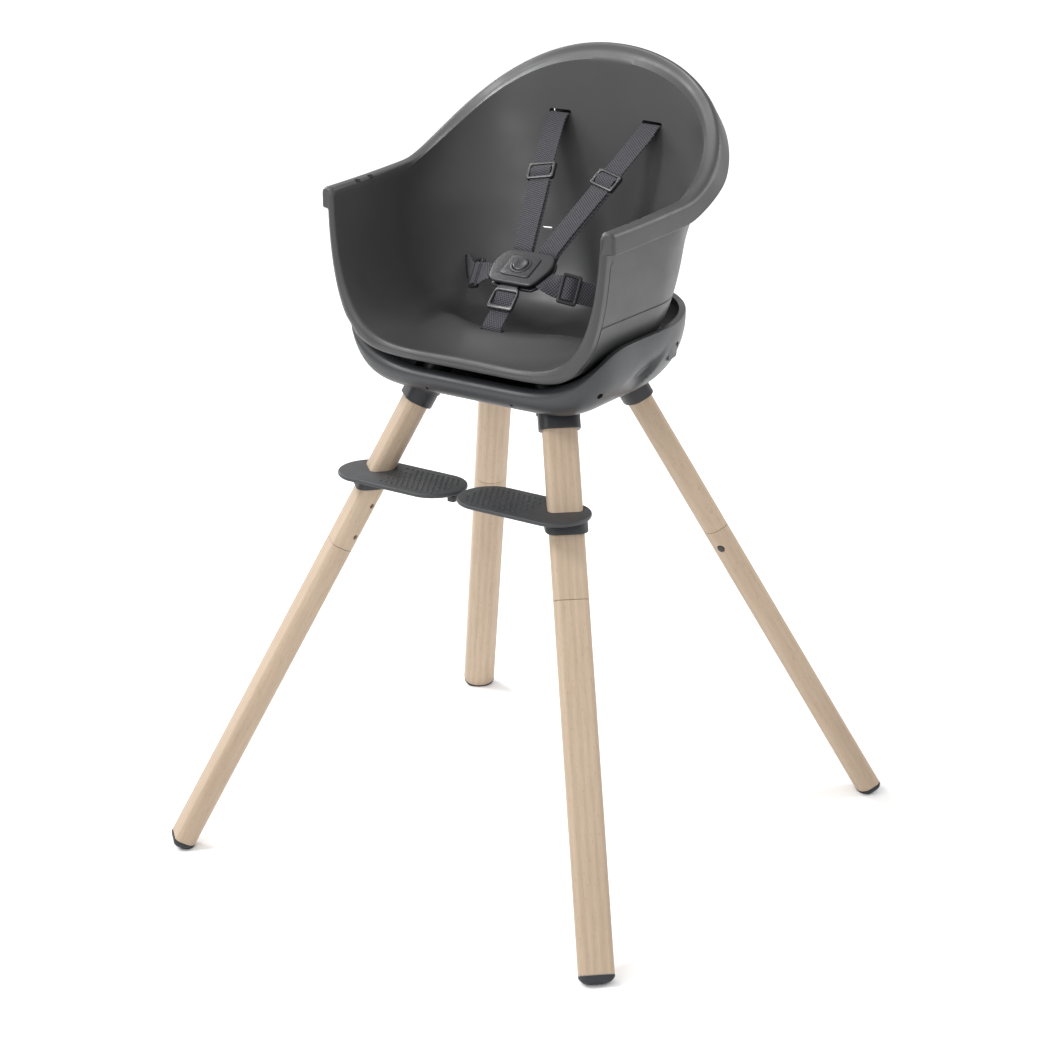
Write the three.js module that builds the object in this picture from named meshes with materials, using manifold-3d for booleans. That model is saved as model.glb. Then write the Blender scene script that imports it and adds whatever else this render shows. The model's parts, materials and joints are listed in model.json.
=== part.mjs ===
// Baby high chair: moulded bucket seat with a five-point harness, a booster base that holds it,
// four splayed two-piece wooden legs and two footplates that slide on the front legs.
// Units are millimetres, +Z is up, the floor is z = 0, the front of the chair faces -Y and
// +X is the right-hand side of someone who looks at the front.  Everything is symmetric about x = 0.

import * as THREE from 'three';
import Module from 'manifold-3d';

const wasm = await Module();
wasm.setup();

// ---------------------------------------------------------------- driving dimensions
const GAP = 0.3;                      // clearance between touching pieces

// legs
const FOOT_REACH = 307.3;             // x and y of each foot on the floor
const LEAN_X = 0.375;                 // inward lean in x for each mm of height
const LEAN_Y = 0.4155;                // inward lean in y for each mm of height
const LEG_HALF_WIDTH = 20.3;          // across the leg, along the tangent of the leg circle
const LEG_HALF_DEPTH = 14.6;          // through the leg, from its inner to its outer face
const LEG_CORNER = 7;                 // radius of the two outer edges
const FOOT_CUT_Z = 9;                 // height of the wooden end on the leg axis
const SEAM_Z = 373.6;                 // joint between the lower and the upper leg
const COLLAR_Z = 545.7;               // lower end of the collar
const LEG_TOP_Z = 596;                // upper end of the wood, inside the base
const SPIGOT_UP = 34;                 // spigot length above the seam
const SPIGOT_DOWN = 58;               // spigot length below the seam
const BUTTON_DROP = 24;               // snap button below the seam, along the leg
const BUTTON_RADIUS = 4.6;
const COLLAR_WALL = 4;

// seat shell
const FLOOR_Z = 625;                  // top of the seat floor at its front edge
const ARM_Z = 800;                    // top of the arms
const ARM_RISE = 4;                   // rise of the arms towards the back
const TOP_Z = 940;                    // top of the backrest
const UNDER_Z = 612.5;                // lowest point of the shell's front edge
const SPLIT_Z = 687.5;                // where the under pan meets the outer wall
const RIM_HALF_WIDTH = 204.5;
const RIM_BACK = 195;
const SKIRT = 26;                     // depth of the turned-down edge
const SKIRT_FLARE = 7;                // outward lean of the skirt round the back
const SKIN = 3;                       // moulded wall thickness
const HUMP = 21;                      // rise of the floor at the crotch slot
const HUMP_Y = -66;
const BEAD_END_Y = -116;              // the front bead is solid up to here
const SHOULDER_SLOT = { x: 66, z: 853 };
const LOWER_SLOT = { x: 66, z: 717 };
const WAIST_SLOT = new THREE.Vector3(134.1, 67, 672);   // in the rear corners of the bucket
const WAIST_SLOT_NORMAL = new THREE.Vector3(0.622, 0.638, -0.454);
const CROTCH_SLOT_Y = -68;

// booster base
const BASE_HALF_WIDTH = 187;
const BASE_FRONT = 130;
const BASE_BACK = 170;
const BASE_BOTTOM_Z = 567;
const BASE_FRONT_RIM_Z = 589;
const BASE_RIM_Z = 656;
const BASE_WALL = 4.5;
const DECK_TOP_Z = 612;

// footplates
const PLATE_Z = 468;                  // top face
const PLATE_THICK = 5;
const PLATE_HALF_DEPTH = 39;
const PLATE_Y = -131;
const PLATE_OUTER_X = 174;
const PLATE_INNER_X = 1.5;
const HOLE_STEP = 43;                 // spacing of the three height holes
const HOLE_FIRST = 19;                // lowest hole above the seam
const PIN_RADIUS = 3;

const RELEASE = { y: 43, z: 622 };    // seat release button on each side of the base

// harness
const WEB = 25;                       // webbing width
const WEB_THICK = 2.2;
const BUCKLE_CENTRE = new THREE.Vector3(0, -9, 705);
const BUCKLE_PITCH = 0.477;           // radians, back edge up
const TONGUE_PITCH = 0.78;            // the crotch tongue hangs more steeply
const COVER_TOP = 4;                  // top of the buckle above its tongue layer
const BUCKLE_BUTTON = { v: 2, radius: 10 };

// ---------------------------------------------------------------- materials
function plastic(color, roughness) {
  return new THREE.MeshStandardMaterial({ color, roughness, metalness: 0 });
}
const SHELL_PLASTIC = plastic(0x555556, 0.45);
const BASE_PLASTIC = plastic(0x4c4d4f, 0.5);
const COLLAR_PLASTIC = plastic(0x36383c, 0.55);
const PLATE_PLASTIC = plastic(0x4b4c4e, 0.6);
const BUTTON_PLASTIC = plastic(0x3a3b3e, 0.5);
const BUCKLE_PLASTIC = plastic(0x333337, 0.4);
const WEBBING = plastic(0x46464e, 0.9);
const BEECH = plastic(0xd9c4a8, 0.6);
const RUBBER = plastic(0x2f3135, 0.9);
const STEEL = new THREE.MeshStandardMaterial({ color: 0xb8b8b8, roughness: 0.35, metalness: 1 });

// ---------------------------------------------------------------- mesh helpers
const chair = new THREE.Group();

function addNode(name, solid, material) {
  const mesh = solid.getMesh ? geometryOf(solid) : solid;
  const node = new THREE.Mesh(mesh, material);
  node.name = name;
  chair.add(node);
}

// Closed BufferGeometry from points and triangles; equal points are shared, flat triangles are dropped.
function weld(points, triangles) {
  const keys = new Map();
  const positions = [];
  const shared = points.map((p) => {
    const key = [p.x, p.y, p.z].map((v) => Math.round(v * 2000)).join(',');
    if (!keys.has(key)) {
      keys.set(key, positions.length / 3);
      positions.push(p.x, p.y, p.z);
    }
    return keys.get(key);
  });
  const index = [];
  for (const [a, b, c] of triangles) {
    const t = [shared[a], shared[b], shared[c]];
    if (t[0] !== t[1] && t[1] !== t[2] && t[2] !== t[0]) index.push(...t);
  }
  const geometry = new THREE.BufferGeometry();
  geometry.setAttribute('position', new THREE.Float32BufferAttribute(positions, 3));
  geometry.setIndex(index);
  return geometry;
}

// A manifold solid from any closed geometry, turned the right way out.
function solidOf(geometry) {
  const position = geometry.attributes.position;
  const points = [];
  for (let i = 0; i < position.count; i += 1) {
    points.push(new THREE.Vector3().fromBufferAttribute(position, i));
  }
  const corner = (i) => (geometry.index ? geometry.index.getX(i) : i);
  const count = geometry.index ? geometry.index.count : position.count;
  const triangles = [];
  for (let i = 0; i < count; i += 3) {
    triangles.push([corner(i), corner(i + 1), corner(i + 2)]);
  }
  const welded = weld(points, triangles);
  const order = outward(welded) ? [0, 1, 2] : [0, 2, 1];
  const triVerts = new Uint32Array(welded.index.count);
  for (let i = 0; i < welded.index.count; i += 3) {
    order.forEach((k, j) => {
      triVerts[i + j] = welded.index.getX(i + k);
    });
  }
  const vertProperties = new Float32Array(welded.attributes.position.array);
  return new wasm.Manifold(new wasm.Mesh({ numProp: 3, vertProperties, triVerts }));
}

function outward(geometry) {
  const position = geometry.attributes.position;
  const a = new THREE.Vector3();
  const b = new THREE.Vector3();
  const c = new THREE.Vector3();
  let volume = 0;
  for (let i = 0; i < geometry.index.count; i += 3) {
    a.fromBufferAttribute(position, geometry.index.getX(i));
    b.fromBufferAttribute(position, geometry.index.getX(i + 1));
    c.fromBufferAttribute(position, geometry.index.getX(i + 2));
    volume += a.dot(b.cross(c));
  }
  return volume > 0;
}

function geometryOf(solid) {
  const mesh = solid.getMesh();
  const geometry = new THREE.BufferGeometry();
  geometry.setAttribute('position', new THREE.Float32BufferAttribute(mesh.vertProperties, 3));
  geometry.setIndex(new THREE.BufferAttribute(mesh.triVerts, 1));
  return geometry;
}

function placed(geometry, matrix) {
  return solidOf(geometry.clone().applyMatrix4(matrix));
}

function frameMatrix(x, y, z, origin) {
  return new THREE.Matrix4().makeBasis(x, y, z).setPosition(origin);
}

function shift(x, y, z) {
  return new THREE.Matrix4().makeTranslation(x, y, z);
}

// Straight extrusion of a shape from z = low to z = high in the given frame.
function prism(shape, low, high, frame, curveSegments = 3) {
  const options = { depth: high - low, bevelEnabled: false, curveSegments };
  const geometry = new THREE.ExtrudeGeometry(shape, options);
  return placed(geometry, frame.clone().multiply(shift(0, 0, low)));
}

// Closed body through a row of equal rings, with flat ends.
function loft(rings) {
  const points = rings.flat();
  const n = rings[0].length;
  const triangles = [];
  for (let r = 0; r < rings.length - 1; r += 1) {
    for (let i = 0; i < n; i += 1) {
      const j = (i + 1) % n;
      triangles.push([r * n + i, r * n + j, (r + 1) * n + j]);
      triangles.push([r * n + i, (r + 1) * n + j, (r + 1) * n + i]);
    }
  }
  const last = (rings.length - 1) * n;
  for (let i = 1; i < n - 1; i += 1) {
    triangles.push([0, i + 1, i]);
    triangles.push([last, last + i, last + i + 1]);
  }
  return solidOf(weld(points, triangles));
}

function roundedRect(halfWidth, halfHeight, radius) {
  const shape = new THREE.Shape();
  shape.moveTo(halfWidth, -halfHeight + radius);
  shape.lineTo(halfWidth, halfHeight - radius);
  shape.absarc(halfWidth - radius, halfHeight - radius, radius, 0, Math.PI / 2);
  shape.absarc(-halfWidth + radius, halfHeight - radius, radius, Math.PI / 2, Math.PI);
  shape.absarc(-halfWidth + radius, -halfHeight + radius, radius, Math.PI, 1.5 * Math.PI);
  shape.absarc(halfWidth - radius, -halfHeight + radius, radius, 1.5 * Math.PI, 2 * Math.PI);
  return shape;
}

function box(halfX, halfY, halfZ, matrix) {
  return placed(new THREE.BoxGeometry(2 * halfX, 2 * halfY, 2 * halfZ), matrix);
}

// Cylinder whose axis is the frame's z, from low to high.
function rod(radius, low, high, frame, sides = 20) {
  const geometry = new THREE.CylinderGeometry(radius, radius, high - low, sides).rotateX(Math.PI / 2);
  return placed(geometry, frame.clone().multiply(shift(0, 0, (low + high) / 2)));
}

// ---------------------------------------------------------------- bucket and bowl surfaces
const lerp = THREE.MathUtils.lerp;
const smooth = THREE.MathUtils.smoothstep;
const STRAIGHT_SHARE = 0.36;          // part of the half outline that runs straight along the arm

// Point of a half outline at s: 0 is the front end, 1 is the middle of the back.
function outlinePoint(s, outline) {
  const { x, front, centre, back, power } = outline;
  if (s < STRAIGHT_SHARE) return [x, lerp(front, centre, s / STRAIGHT_SHARE)];
  const angle = ((s - STRAIGHT_SHARE) / (1 - STRAIGHT_SHARE)) * (Math.PI / 2);
  const run = Math.abs(Math.cos(angle)) ** (2 / power);
  const rise = Math.sin(angle) ** (2 / power);
  return [s > 0.9999 ? 0 : x * run, centre + (back - centre) * rise];
}

// The body goes from a round plan low down to a squarer one near the rim.
function planAt(z, x, back) {
  const high = smooth(z, 740, 860);
  return {
    x,
    back,
    front: lerp(-130, -124, (z - FLOOR_Z) / (ARM_Z - FLOOR_Z)),
    centre: 30 * high,
    power: 2.05 + 0.9 * high,
  };
}

const innerSpan = ARM_Z - FLOOR_Z;
const outerSpan = ARM_Z - UNDER_Z;

// Share of the full width at height z, rounding into the floor.
function cornerShare(z, floorZ, span, exponent) {
  const h = Math.min(1, Math.max(0, (z - floorZ) / span));
  return (1 - (1 - h) ** 2) ** exponent;
}

function cornerHeight(share, span, exponent) {
  return span * (1 - Math.sqrt(Math.max(0, 1 - share ** (1 / exponent))));
}

function backReach(z) {
  return 169 + 0.14 * (z - 855) - 0.00042 * Math.max(0, 855 - z) ** 2;
}

const INNER_EXPONENT = 0.17;
const OUTER_EXPONENT = 0.14;

function innerPlan(z, offset = 0) {
  const share = cornerShare(z + offset, FLOOR_Z, innerSpan, INNER_EXPONENT);
  const width = 187 + 0.03 * Math.max(0, z - ARM_Z);
  return planAt(z, width * share + offset, backReach(z) * share + offset);
}

function outerPlan(z, offset = 0) {
  const share = cornerShare(z, UNDER_Z - offset, outerSpan, OUTER_EXPONENT);
  return planAt(z, 196 * share + offset, (backReach(z) + 10) * share + offset);
}

// Height of the rim's outer ridge and of its inner edge at s.
function rimHeight(s, rise) {
  if (s <= STRAIGHT_SHARE) return ARM_Z + ARM_RISE * (s / STRAIGHT_SHARE) ** 2;
  const angle = ((s - STRAIGHT_SHARE) / (1 - STRAIGHT_SHARE)) * (Math.PI / 2);
  const width = Math.abs(Math.cos(angle)) ** 1.43;
  return ARM_Z + ARM_RISE + (rise - ARM_RISE) * (1 - width) ** 0.57;
}

function floorHump(x, y) {
  const ridge = HUMP_Y + 0.0035 * x * x;
  const fall = y < ridge ? 36 : 30;
  const across = 1 - smooth(Math.abs(x), 70, 150);
  return HUMP * across * Math.exp(-(((y - ridge) / fall) ** 2));
}

const FLOOR_SHARES = [0.22, 0.42, 0.58, 0.7, 0.79];

// Points from the middle of the floor out to the start of the wall.
function floorPoints(s, plan, floorZ, span, exponent, offset, hump) {
  return [0, ...FLOOR_SHARES].map((share) => {
    const z = floorZ + cornerHeight(share, span, exponent);
    const full = plan(floorZ + span * 0.12, offset);
    const [x, y] = outlinePoint(s, full);
    const k = share / cornerShare(floorZ + span * 0.12, floorZ, span, exponent);
    const centre = s < STRAIGHT_SHARE ? y : outlinePoint(STRAIGHT_SHARE, full)[1];
    const px = x * k;
    const py = centre + (y - centre) * k;
    return [px, py, z + (hump ? floorHump(px, py) : 0)];
  });
}

function wallPoints(s, plan, levels, offset = 0) {
  return levels.map((z) => [...outlinePoint(s, plan(z, offset)), z]);
}

const WALL_LEVELS = [650, 664, 684, 712, 745];

function innerLevels(topZ) {
  return [...WALL_LEVELS, lerp(745, topZ, 0.5), topZ];
}

function rimPoint(s, x, back, z) {
  const plan = { x, back, front: -122, centre: 30, power: 2.8 };
  return [...outlinePoint(s, plan), z];
}

// Full-thickness bucket: floor, wall, rolled rim, turned-down skirt, outer wall, underside.
function shellProfile(s) {
  const ridge = rimHeight(s, TOP_Z - ARM_Z);
  const lip = rimHeight(s, TOP_Z - ARM_Z - 11);
  const flare = SKIRT_FLARE * smooth(s, STRAIGHT_SHARE, STRAIGHT_SHARE + 0.16);
  const inside = [
    ...floorPoints(s, innerPlan, FLOOR_Z, innerSpan, INNER_EXPONENT, 0, true),
    ...wallPoints(s, innerPlan, innerLevels(lip - 5)),
  ];
  const rim = [
    rimPoint(s, 189, RIM_BACK - 9, lip - 0.8),
    rimPoint(s, 200, RIM_BACK - 4, ridge),
    rimPoint(s, RIM_HALF_WIDTH, RIM_BACK, ridge - 4),
    rimPoint(s, RIM_HALF_WIDTH + 0.5 + flare, RIM_BACK + 2 * flare, ridge - SKIRT),
  ];
  const skirtFoot = ridge - SKIRT;
  const outside = wallPoints(s, outerPlan, [skirtFoot, lerp(skirtFoot, 712, 0.5), 712, 684, 664, 650, 638]);
  const under = floorPoints(s, outerPlan, UNDER_Z, outerSpan, OUTER_EXPONENT, 0, false).reverse();
  return [...inside, ...rim, ...outside, ...under];
}

// Hollow between the bucket and its outer wall, open below the split line.
function hollowProfile(s) {
  const lip = rimHeight(s, TOP_Z - ARM_Z - 11);
  const top = lip - 16;
  const ceiling = lip - 14;
  const [clearX, clearY] = outlinePoint(s, outerPlan(650, 12));
  return [
    ...floorPoints(s, innerPlan, FLOOR_Z - SKIN, innerSpan, INNER_EXPONENT, SKIN, true),
    ...wallPoints(s, innerPlan, [...WALL_LEVELS, lerp(745, top, 0.5), top], SKIN),
    ...wallPoints(s, outerPlan, [ceiling, lerp(ceiling, 745, 0.5), 745, 712, SPLIT_Z + GAP], -SKIN),
    ...wallPoints(s, outerPlan, [SPLIT_Z + GAP, 650], 12),
    [clearX, clearY, UNDER_Z - 15],
    [0, clearY, UNDER_Z - 15],
  ];
}

// Closed body from one profile for each rib; each profile starts and ends on the middle plane.
function ribBody(profile, stations) {
  const left = stations.map((s) => profile(s).map(([x, y, z]) => new THREE.Vector3(-x, y, z)));
  const right = stations.map((s) => profile(s).map(([x, y, z]) => new THREE.Vector3(x, y, z)));
  const ribs = [...left, ...right.reverse().slice(1)];
  const m = ribs[0].length;
  const triangles = [];
  for (let r = 0; r < ribs.length - 1; r += 1) {
    for (let i = 0; i < m - 1; i += 1) {
      const a = r * m + i;
      const b = (r + 1) * m + i;
      triangles.push([a, b, b + 1]);
      triangles.push([a, b + 1, a + 1]);
    }
  }
  const last = (ribs.length - 1) * m;
  const ring = [];
  for (let i = 0; i < m; i += 1) ring.push(i);
  for (let i = m - 2; i > 0; i -= 1) ring.push(last + i);
  const points = ribs.flat();
  const flat = ring.map((i) => new THREE.Vector2(points[i].x, points[i].z));
  for (const [a, b, c] of THREE.ShapeUtils.triangulateShape(flat, [])) {
    triangles.push([ring[a], ring[b], ring[c]]);
  }
  return solidOf(weld(points, triangles));
}

function stationList(start, straight, round) {
  const list = [];
  for (let i = 0; i < straight; i += 1) list.push(lerp(start, STRAIGHT_SHARE, i / straight));
  for (let i = 0; i <= round; i += 1) list.push(lerp(STRAIGHT_SHARE, 1, i / round));
  return list;
}


// ---------------------------------------------------------------- seat shell and under pan
const SEAT_STATIONS = stationList(0, 5, 13);

function slotCutter(halfWide, halfHigh, reach, matrix) {
  const frame = matrix.clone().multiply(shift(0, 0, -reach));
  return prism(roundedRect(halfWide, halfHigh, halfHigh - 0.2), 0, 2 * reach, frame, 2);
}

const X = new THREE.Vector3(1, 0, 0);
const Y = new THREE.Vector3(0, 1, 0);
const Z = new THREE.Vector3(0, 0, 1);

// Frame of a waist slot: x up along the slot, z out through the wall.
function waistFrame(side) {
  const normal = new THREE.Vector3(side * WAIST_SLOT_NORMAL.x, WAIST_SLOT_NORMAL.y, WAIST_SLOT_NORMAL.z).normalize();
  const up = Z.clone().addScaledVector(normal, -normal.z).normalize();
  const origin = new THREE.Vector3(side * WAIST_SLOT.x, WAIST_SLOT.y, WAIST_SLOT.z);
  return frameMatrix(up, new THREE.Vector3().crossVectors(normal, up), normal, origin);
}

function harnessSlots() {
  const cutters = [];
  const backFrame = (x, y, z) => frameMatrix(X, Z, Y.clone().negate(), new THREE.Vector3(x, y, z));
  for (const side of [-1, 1]) {
    for (const { x, z } of [SHOULDER_SLOT, LOWER_SLOT]) {
      const lift = z === LOWER_SLOT.z ? 3.5 : 0;
      cutters.push(slotCutter(15, 3, 8, backFrame(side * x, backReach(z) - 2, z)));
      cutters.push(slotCutter(15, 3, 6, backFrame(side * x, backReach(z) + 9, z + lift)));
    }
    cutters.push(slotCutter(15, 3, 6, waistFrame(side)));
  }
  const crotch = new THREE.Vector3(0, CROTCH_SLOT_Y, FLOOR_Z + HUMP);
  cutters.push(slotCutter(16, 3, 10, frameMatrix(X, Y, Z, crotch)));
  return cutters;
}

function trayNotches() {
  const cutters = [];
  for (const side of [-1, 1]) {
    for (const y of [-72, -48]) {
      cutters.push(box(7, 4, 6, shift(side * 186, y, ARM_Z + 1.5)));
    }
  }
  return cutters;
}

function seatShell() {
  const behindBead = box(400, 400, 400, shift(0, BEAD_END_Y + 400, 700));
  let shell = ribBody(shellProfile, SEAT_STATIONS);
  shell = shell.subtract(ribBody(hollowProfile, SEAT_STATIONS).intersect(behindBead));
  for (const cutter of [...harnessSlots(), ...trayNotches()]) shell = shell.subtract(cutter);
  return shell;
}

function panProfile(s) {
  const levels = [638, 650, 664, SPLIT_Z];
  return [
    ...floorPoints(s, outerPlan, UNDER_Z + SKIN, outerSpan - SKIN, OUTER_EXPONENT, -SKIN, false),
    ...wallPoints(s, outerPlan, levels, -SKIN),
    ...wallPoints(s, outerPlan, levels.reverse()),
    ...floorPoints(s, outerPlan, UNDER_Z, outerSpan, OUTER_EXPONENT, 0, false).reverse(),
  ];
}

function seatUnderPan() {
  const behindBead = box(400, 400, 400, shift(0, BEAD_END_Y + GAP + 400, 700));
  return ribBody(panProfile, SEAT_STATIONS).intersect(behindBead);
}

addNode('seat_shell', seatShell(), SHELL_PLASTIC);
addNode('seat_under_pan', seatUnderPan(), SHELL_PLASTIC);

// ---------------------------------------------------------------- legs
// Frame of a leg: x across, y outwards and up through its thickness, z up along its axis from the floor.
function legFrame(sx, sy) {
  const up = new THREE.Vector3(-sx * LEAN_X, -sy * LEAN_Y, 1).normalize();
  const out = new THREE.Vector3(sx * LEAN_X, sy * LEAN_Y, 0).normalize();
  out.addScaledVector(up, -out.dot(up)).normalize();
  const across = new THREE.Vector3().crossVectors(out, up);
  return frameMatrix(across, out, up, new THREE.Vector3(sx * FOOT_REACH, sy * FOOT_REACH, 0));
}

const ALONG = Math.hypot(LEAN_X, LEAN_Y, 1);   // length along a leg for each mm of height

// Leg section: round inner face, flatter outer face with two soft edges.
function legSection(grow) {
  const a = LEG_HALF_WIDTH + grow;
  const b = LEG_HALF_DEPTH + grow;
  const r = LEG_CORNER + grow;
  const shape = new THREE.Shape();
  shape.moveTo(a, 0);
  shape.lineTo(a, b - r);
  shape.absarc(a - r, b - r, r, 0, Math.PI / 2);
  shape.absarc(-a + r, b - r, r, Math.PI / 2, Math.PI);
  shape.lineTo(-a, 0);
  shape.absellipse(0, 0, a, b, Math.PI, 2 * Math.PI);
  return shape;
}

const SPIGOT_SHAPE = roundedRect(11, 6.5, 4);
const POCKET_SHAPE = roundedRect(11 + GAP, 6.5 + GAP, 4 + GAP);
const SEAM_S = SEAM_Z * ALONG;
const FOOT_S = FOOT_CUT_Z * ALONG;
const TOP_S = LEG_TOP_Z * ALONG;

// Frame of a cross hole on a leg: its z is the hole's axis, pointing out of the leg's face.
function crossFrame(sx, sy, s, direction) {
  const leg = legFrame(sx, sy);
  const across = new THREE.Vector3().setFromMatrixColumn(leg, 0);
  const out = new THREE.Vector3().setFromMatrixColumn(leg, 1);
  const a = direction.dot(across) * LEG_HALF_WIDTH;
  const b = direction.dot(out) * LEG_HALF_DEPTH;
  const size = Math.hypot(a, b);
  const point = new THREE.Vector3((a / size) * LEG_HALF_WIDTH, (b / size) * LEG_HALF_DEPTH, s);
  const up = new THREE.Vector3().setFromMatrixColumn(leg, 2);
  const axis = direction.clone().addScaledVector(up, -direction.dot(up)).normalize();
  const side = new THREE.Vector3().crossVectors(up, axis);
  return frameMatrix(side, up, axis, point.applyMatrix4(leg));
}

function buttonFrame(sx, sy) {
  return crossFrame(sx, sy, SEAM_S - BUTTON_DROP, new THREE.Vector3(0, -sy, 0));
}

function lowerLeg(sx, sy) {
  const frame = legFrame(sx, sy);
  const pocket = prism(POCKET_SHAPE, SEAM_S - SPIGOT_DOWN - 2, SEAM_S + 1, frame, 2);
  return prism(legSection(0), FOOT_S, SEAM_S - GAP / 2, frame)
    .subtract(pocket)
    .subtract(rod(BUTTON_RADIUS + GAP, -14, 8, buttonFrame(sx, sy), 12));
}

function upperLeg(sx, sy) {
  const frame = legFrame(sx, sy);
  const pocket = prism(POCKET_SHAPE, SEAM_S - 1, SEAM_S + SPIGOT_UP + 2, frame, 2);
  let leg = prism(legSection(0), SEAM_S + GAP / 2, TOP_S, frame).subtract(pocket);
  if (sy < 0) {
    for (let k = 0; k < 3; k += 1) {
      const s = SEAM_S + HOLE_FIRST + k * HOLE_STEP;
      const hole = crossFrame(sx, sy, s, new THREE.Vector3(-sx, 0, 0));
      leg = leg.subtract(rod(PIN_RADIUS + GAP, -8, 8, hole, 12));
    }
  }
  return leg;
}

function spigot(sx, sy) {
  const frame = legFrame(sx, sy);
  return prism(SPIGOT_SHAPE, SEAM_S - SPIGOT_DOWN, SEAM_S + SPIGOT_UP, frame, 2)
    .subtract(rod(BUTTON_RADIUS + GAP, -40, 12, buttonFrame(sx, sy), 12));
}

function legButton(sx, sy) {
  return rod(BUTTON_RADIUS, -13, 0.4, buttonFrame(sx, sy), 12);
}

// Rubber foot: full section where it meets the wood, drawn in to a flat patch on the floor.
function footCap(sx, sy) {
  const frame = legFrame(sx, sy);
  const outline = legSection(0).getPoints(3);
  const topS = FOOT_S - GAP;
  const ring = (depth, scale) => outline.map((q) => {
    const top = new THREE.Vector3(q.x, q.y, topS).applyMatrix4(frame);
    const low = new THREE.Vector3(q.x * scale, q.y * scale, topS).applyMatrix4(frame);
    const drop = low.z * ALONG;
    const foot = new THREE.Vector3(q.x * scale, q.y * scale, topS - drop).applyMatrix4(frame);
    return depth === 0 ? top : low.lerp(foot, depth);
  });
  return loft([ring(0, 1), ring(0.45, 0.98), ring(0.8, 0.88), ring(1, 0.72)]);
}

function collar(sx, sy) {
  const frame = legFrame(sx, sy);
  const low = COLLAR_Z * ALONG;
  return prism(legSection(COLLAR_WALL), low, TOP_S - 2, frame)
    .subtract(prism(legSection(GAP), low - 1, TOP_S + 1, frame));
}

const CORNERS = [
  ['front_left', -1, -1],
  ['front_right', 1, -1],
  ['rear_left', -1, 1],
  ['rear_right', 1, 1],
];
for (const [place, sx, sy] of CORNERS) {
  addNode(`upper_leg_${place}`, upperLeg(sx, sy), BEECH);
  addNode(`lower_leg_${place}`, lowerLeg(sx, sy), BEECH);
  addNode(`leg_spigot_${place}`, spigot(sx, sy), STEEL);
  addNode(`leg_button_${place}`, legButton(sx, sy), BUTTON_PLASTIC);
  addNode(`foot_cap_${place}`, footCap(sx, sy), RUBBER);
  addNode(`leg_collar_${place}`, collar(sx, sy), COLLAR_PLASTIC);
}

// ---------------------------------------------------------------- booster base
const BASE_COLUMNS = 34;

function baseShare(z, exponent) {
  const h = Math.min(1, Math.max(0, (z - BASE_BOTTOM_Z) / (BASE_RIM_Z - BASE_BOTTOM_Z)));
  return (1 - (1 - h) ** 2) ** exponent;
}

// Point of the base outline at height z, pulled in by inset; angle 0 is +x and 90 degrees is the back.
function basePoint(angle, z, inset) {
  const c = Math.cos(angle);
  const s = Math.sin(angle);
  const power = s < 0 ? 2 / 7 : 2 / 2.2;
  const x = (BASE_HALF_WIDTH * baseShare(z, 0.17 + 0.045 * s) - inset) * Math.sign(c) * Math.abs(c) ** power;
  const reach = s < 0 ? -(BASE_FRONT * baseShare(z, 0.08) - inset) : BASE_BACK * baseShare(z, 0.2) - inset;
  return [x, reach * Math.abs(s) ** power, z];
}

function baseRimZ(angle) {
  const s = Math.sin(angle);
  if (s >= 0) return BASE_RIM_Z + 5 * s;
  const reach = Math.abs(Math.cos(angle)) ** (2 / 7);
  return BASE_FRONT_RIM_Z + (BASE_RIM_Z - BASE_FRONT_RIM_Z) * reach ** 6.5;
}

function baseColumn(angle) {
  const rim = baseRimZ(angle);
  const steps = [0.03, 0.1, 0.22, 0.42, 0.7, 0.95];
  const outer = steps.map((t) => basePoint(angle, lerp(BASE_BOTTOM_Z, rim, t), 0));
  const innerBottom = BASE_BOTTOM_Z + BASE_WALL;
  const inner = steps.map((t) => {
    const z = lerp(innerBottom, rim, t);
    const [x, y] = basePoint(angle, lerp(BASE_BOTTOM_Z, rim, t), BASE_WALL);
    return [x, y, z];
  });
  const flat = (z, share) => {
    const [x, y] = basePoint(angle, lerp(BASE_BOTTOM_Z, rim, steps[0]), 0);
    return [x * share, y * share, z];
  };
  const rimTop = [...basePoint(angle, rim, BASE_WALL / 2).slice(0, 2), rim + 1];
  return [
    [0, 0, BASE_BOTTOM_Z],
    flat(BASE_BOTTOM_Z + 0.3, 0.6),
    ...outer,
    basePoint(angle, rim, 0.6),
    rimTop,
    basePoint(angle, rim, BASE_WALL - 0.6),
    ...inner.reverse(),
    flat(innerBottom, 0.6),
    [0, 0, innerBottom],
  ];
}

// Closed body from columns that turn round the z axis and start and end on it.
function columnBody(column, count) {
  const columns = [];
  for (let i = 0; i < count; i += 1) {
    const angle = (i / count) * 2 * Math.PI;
    columns.push(column(angle).map(([x, y, z]) => new THREE.Vector3(x, y, z)));
  }
  const m = columns[0].length;
  const triangles = [];
  for (let i = 0; i < count; i += 1) {
    const j = (i + 1) % count;
    for (let k = 0; k < m - 1; k += 1) {
      triangles.push([i * m + k, j * m + k, j * m + k + 1]);
      triangles.push([i * m + k, j * m + k + 1, i * m + k + 1]);
    }
  }
  return solidOf(weld(columns.flat(), triangles));
}

// Tapered boss that runs from the bowl's underside down to the top of a collar.
function socketBoss(sx, sy) {
  const frame = legFrame(sx, sy);
  const ring = (z, grow) => legSection(grow).getPoints(3)
    .map((q) => new THREE.Vector3(q.x, q.y, z * ALONG).applyMatrix4(frame));
  return loft([
    ring(COLLAR_Z + 17, COLLAR_WALL + 1.6),
    ring(COLLAR_Z + 21, COLLAR_WALL + 4),
    ring(COLLAR_Z + 25, COLLAR_WALL + 9),
    ring(COLLAR_Z + 29, COLLAR_WALL + 17),
  ]);
}

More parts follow.
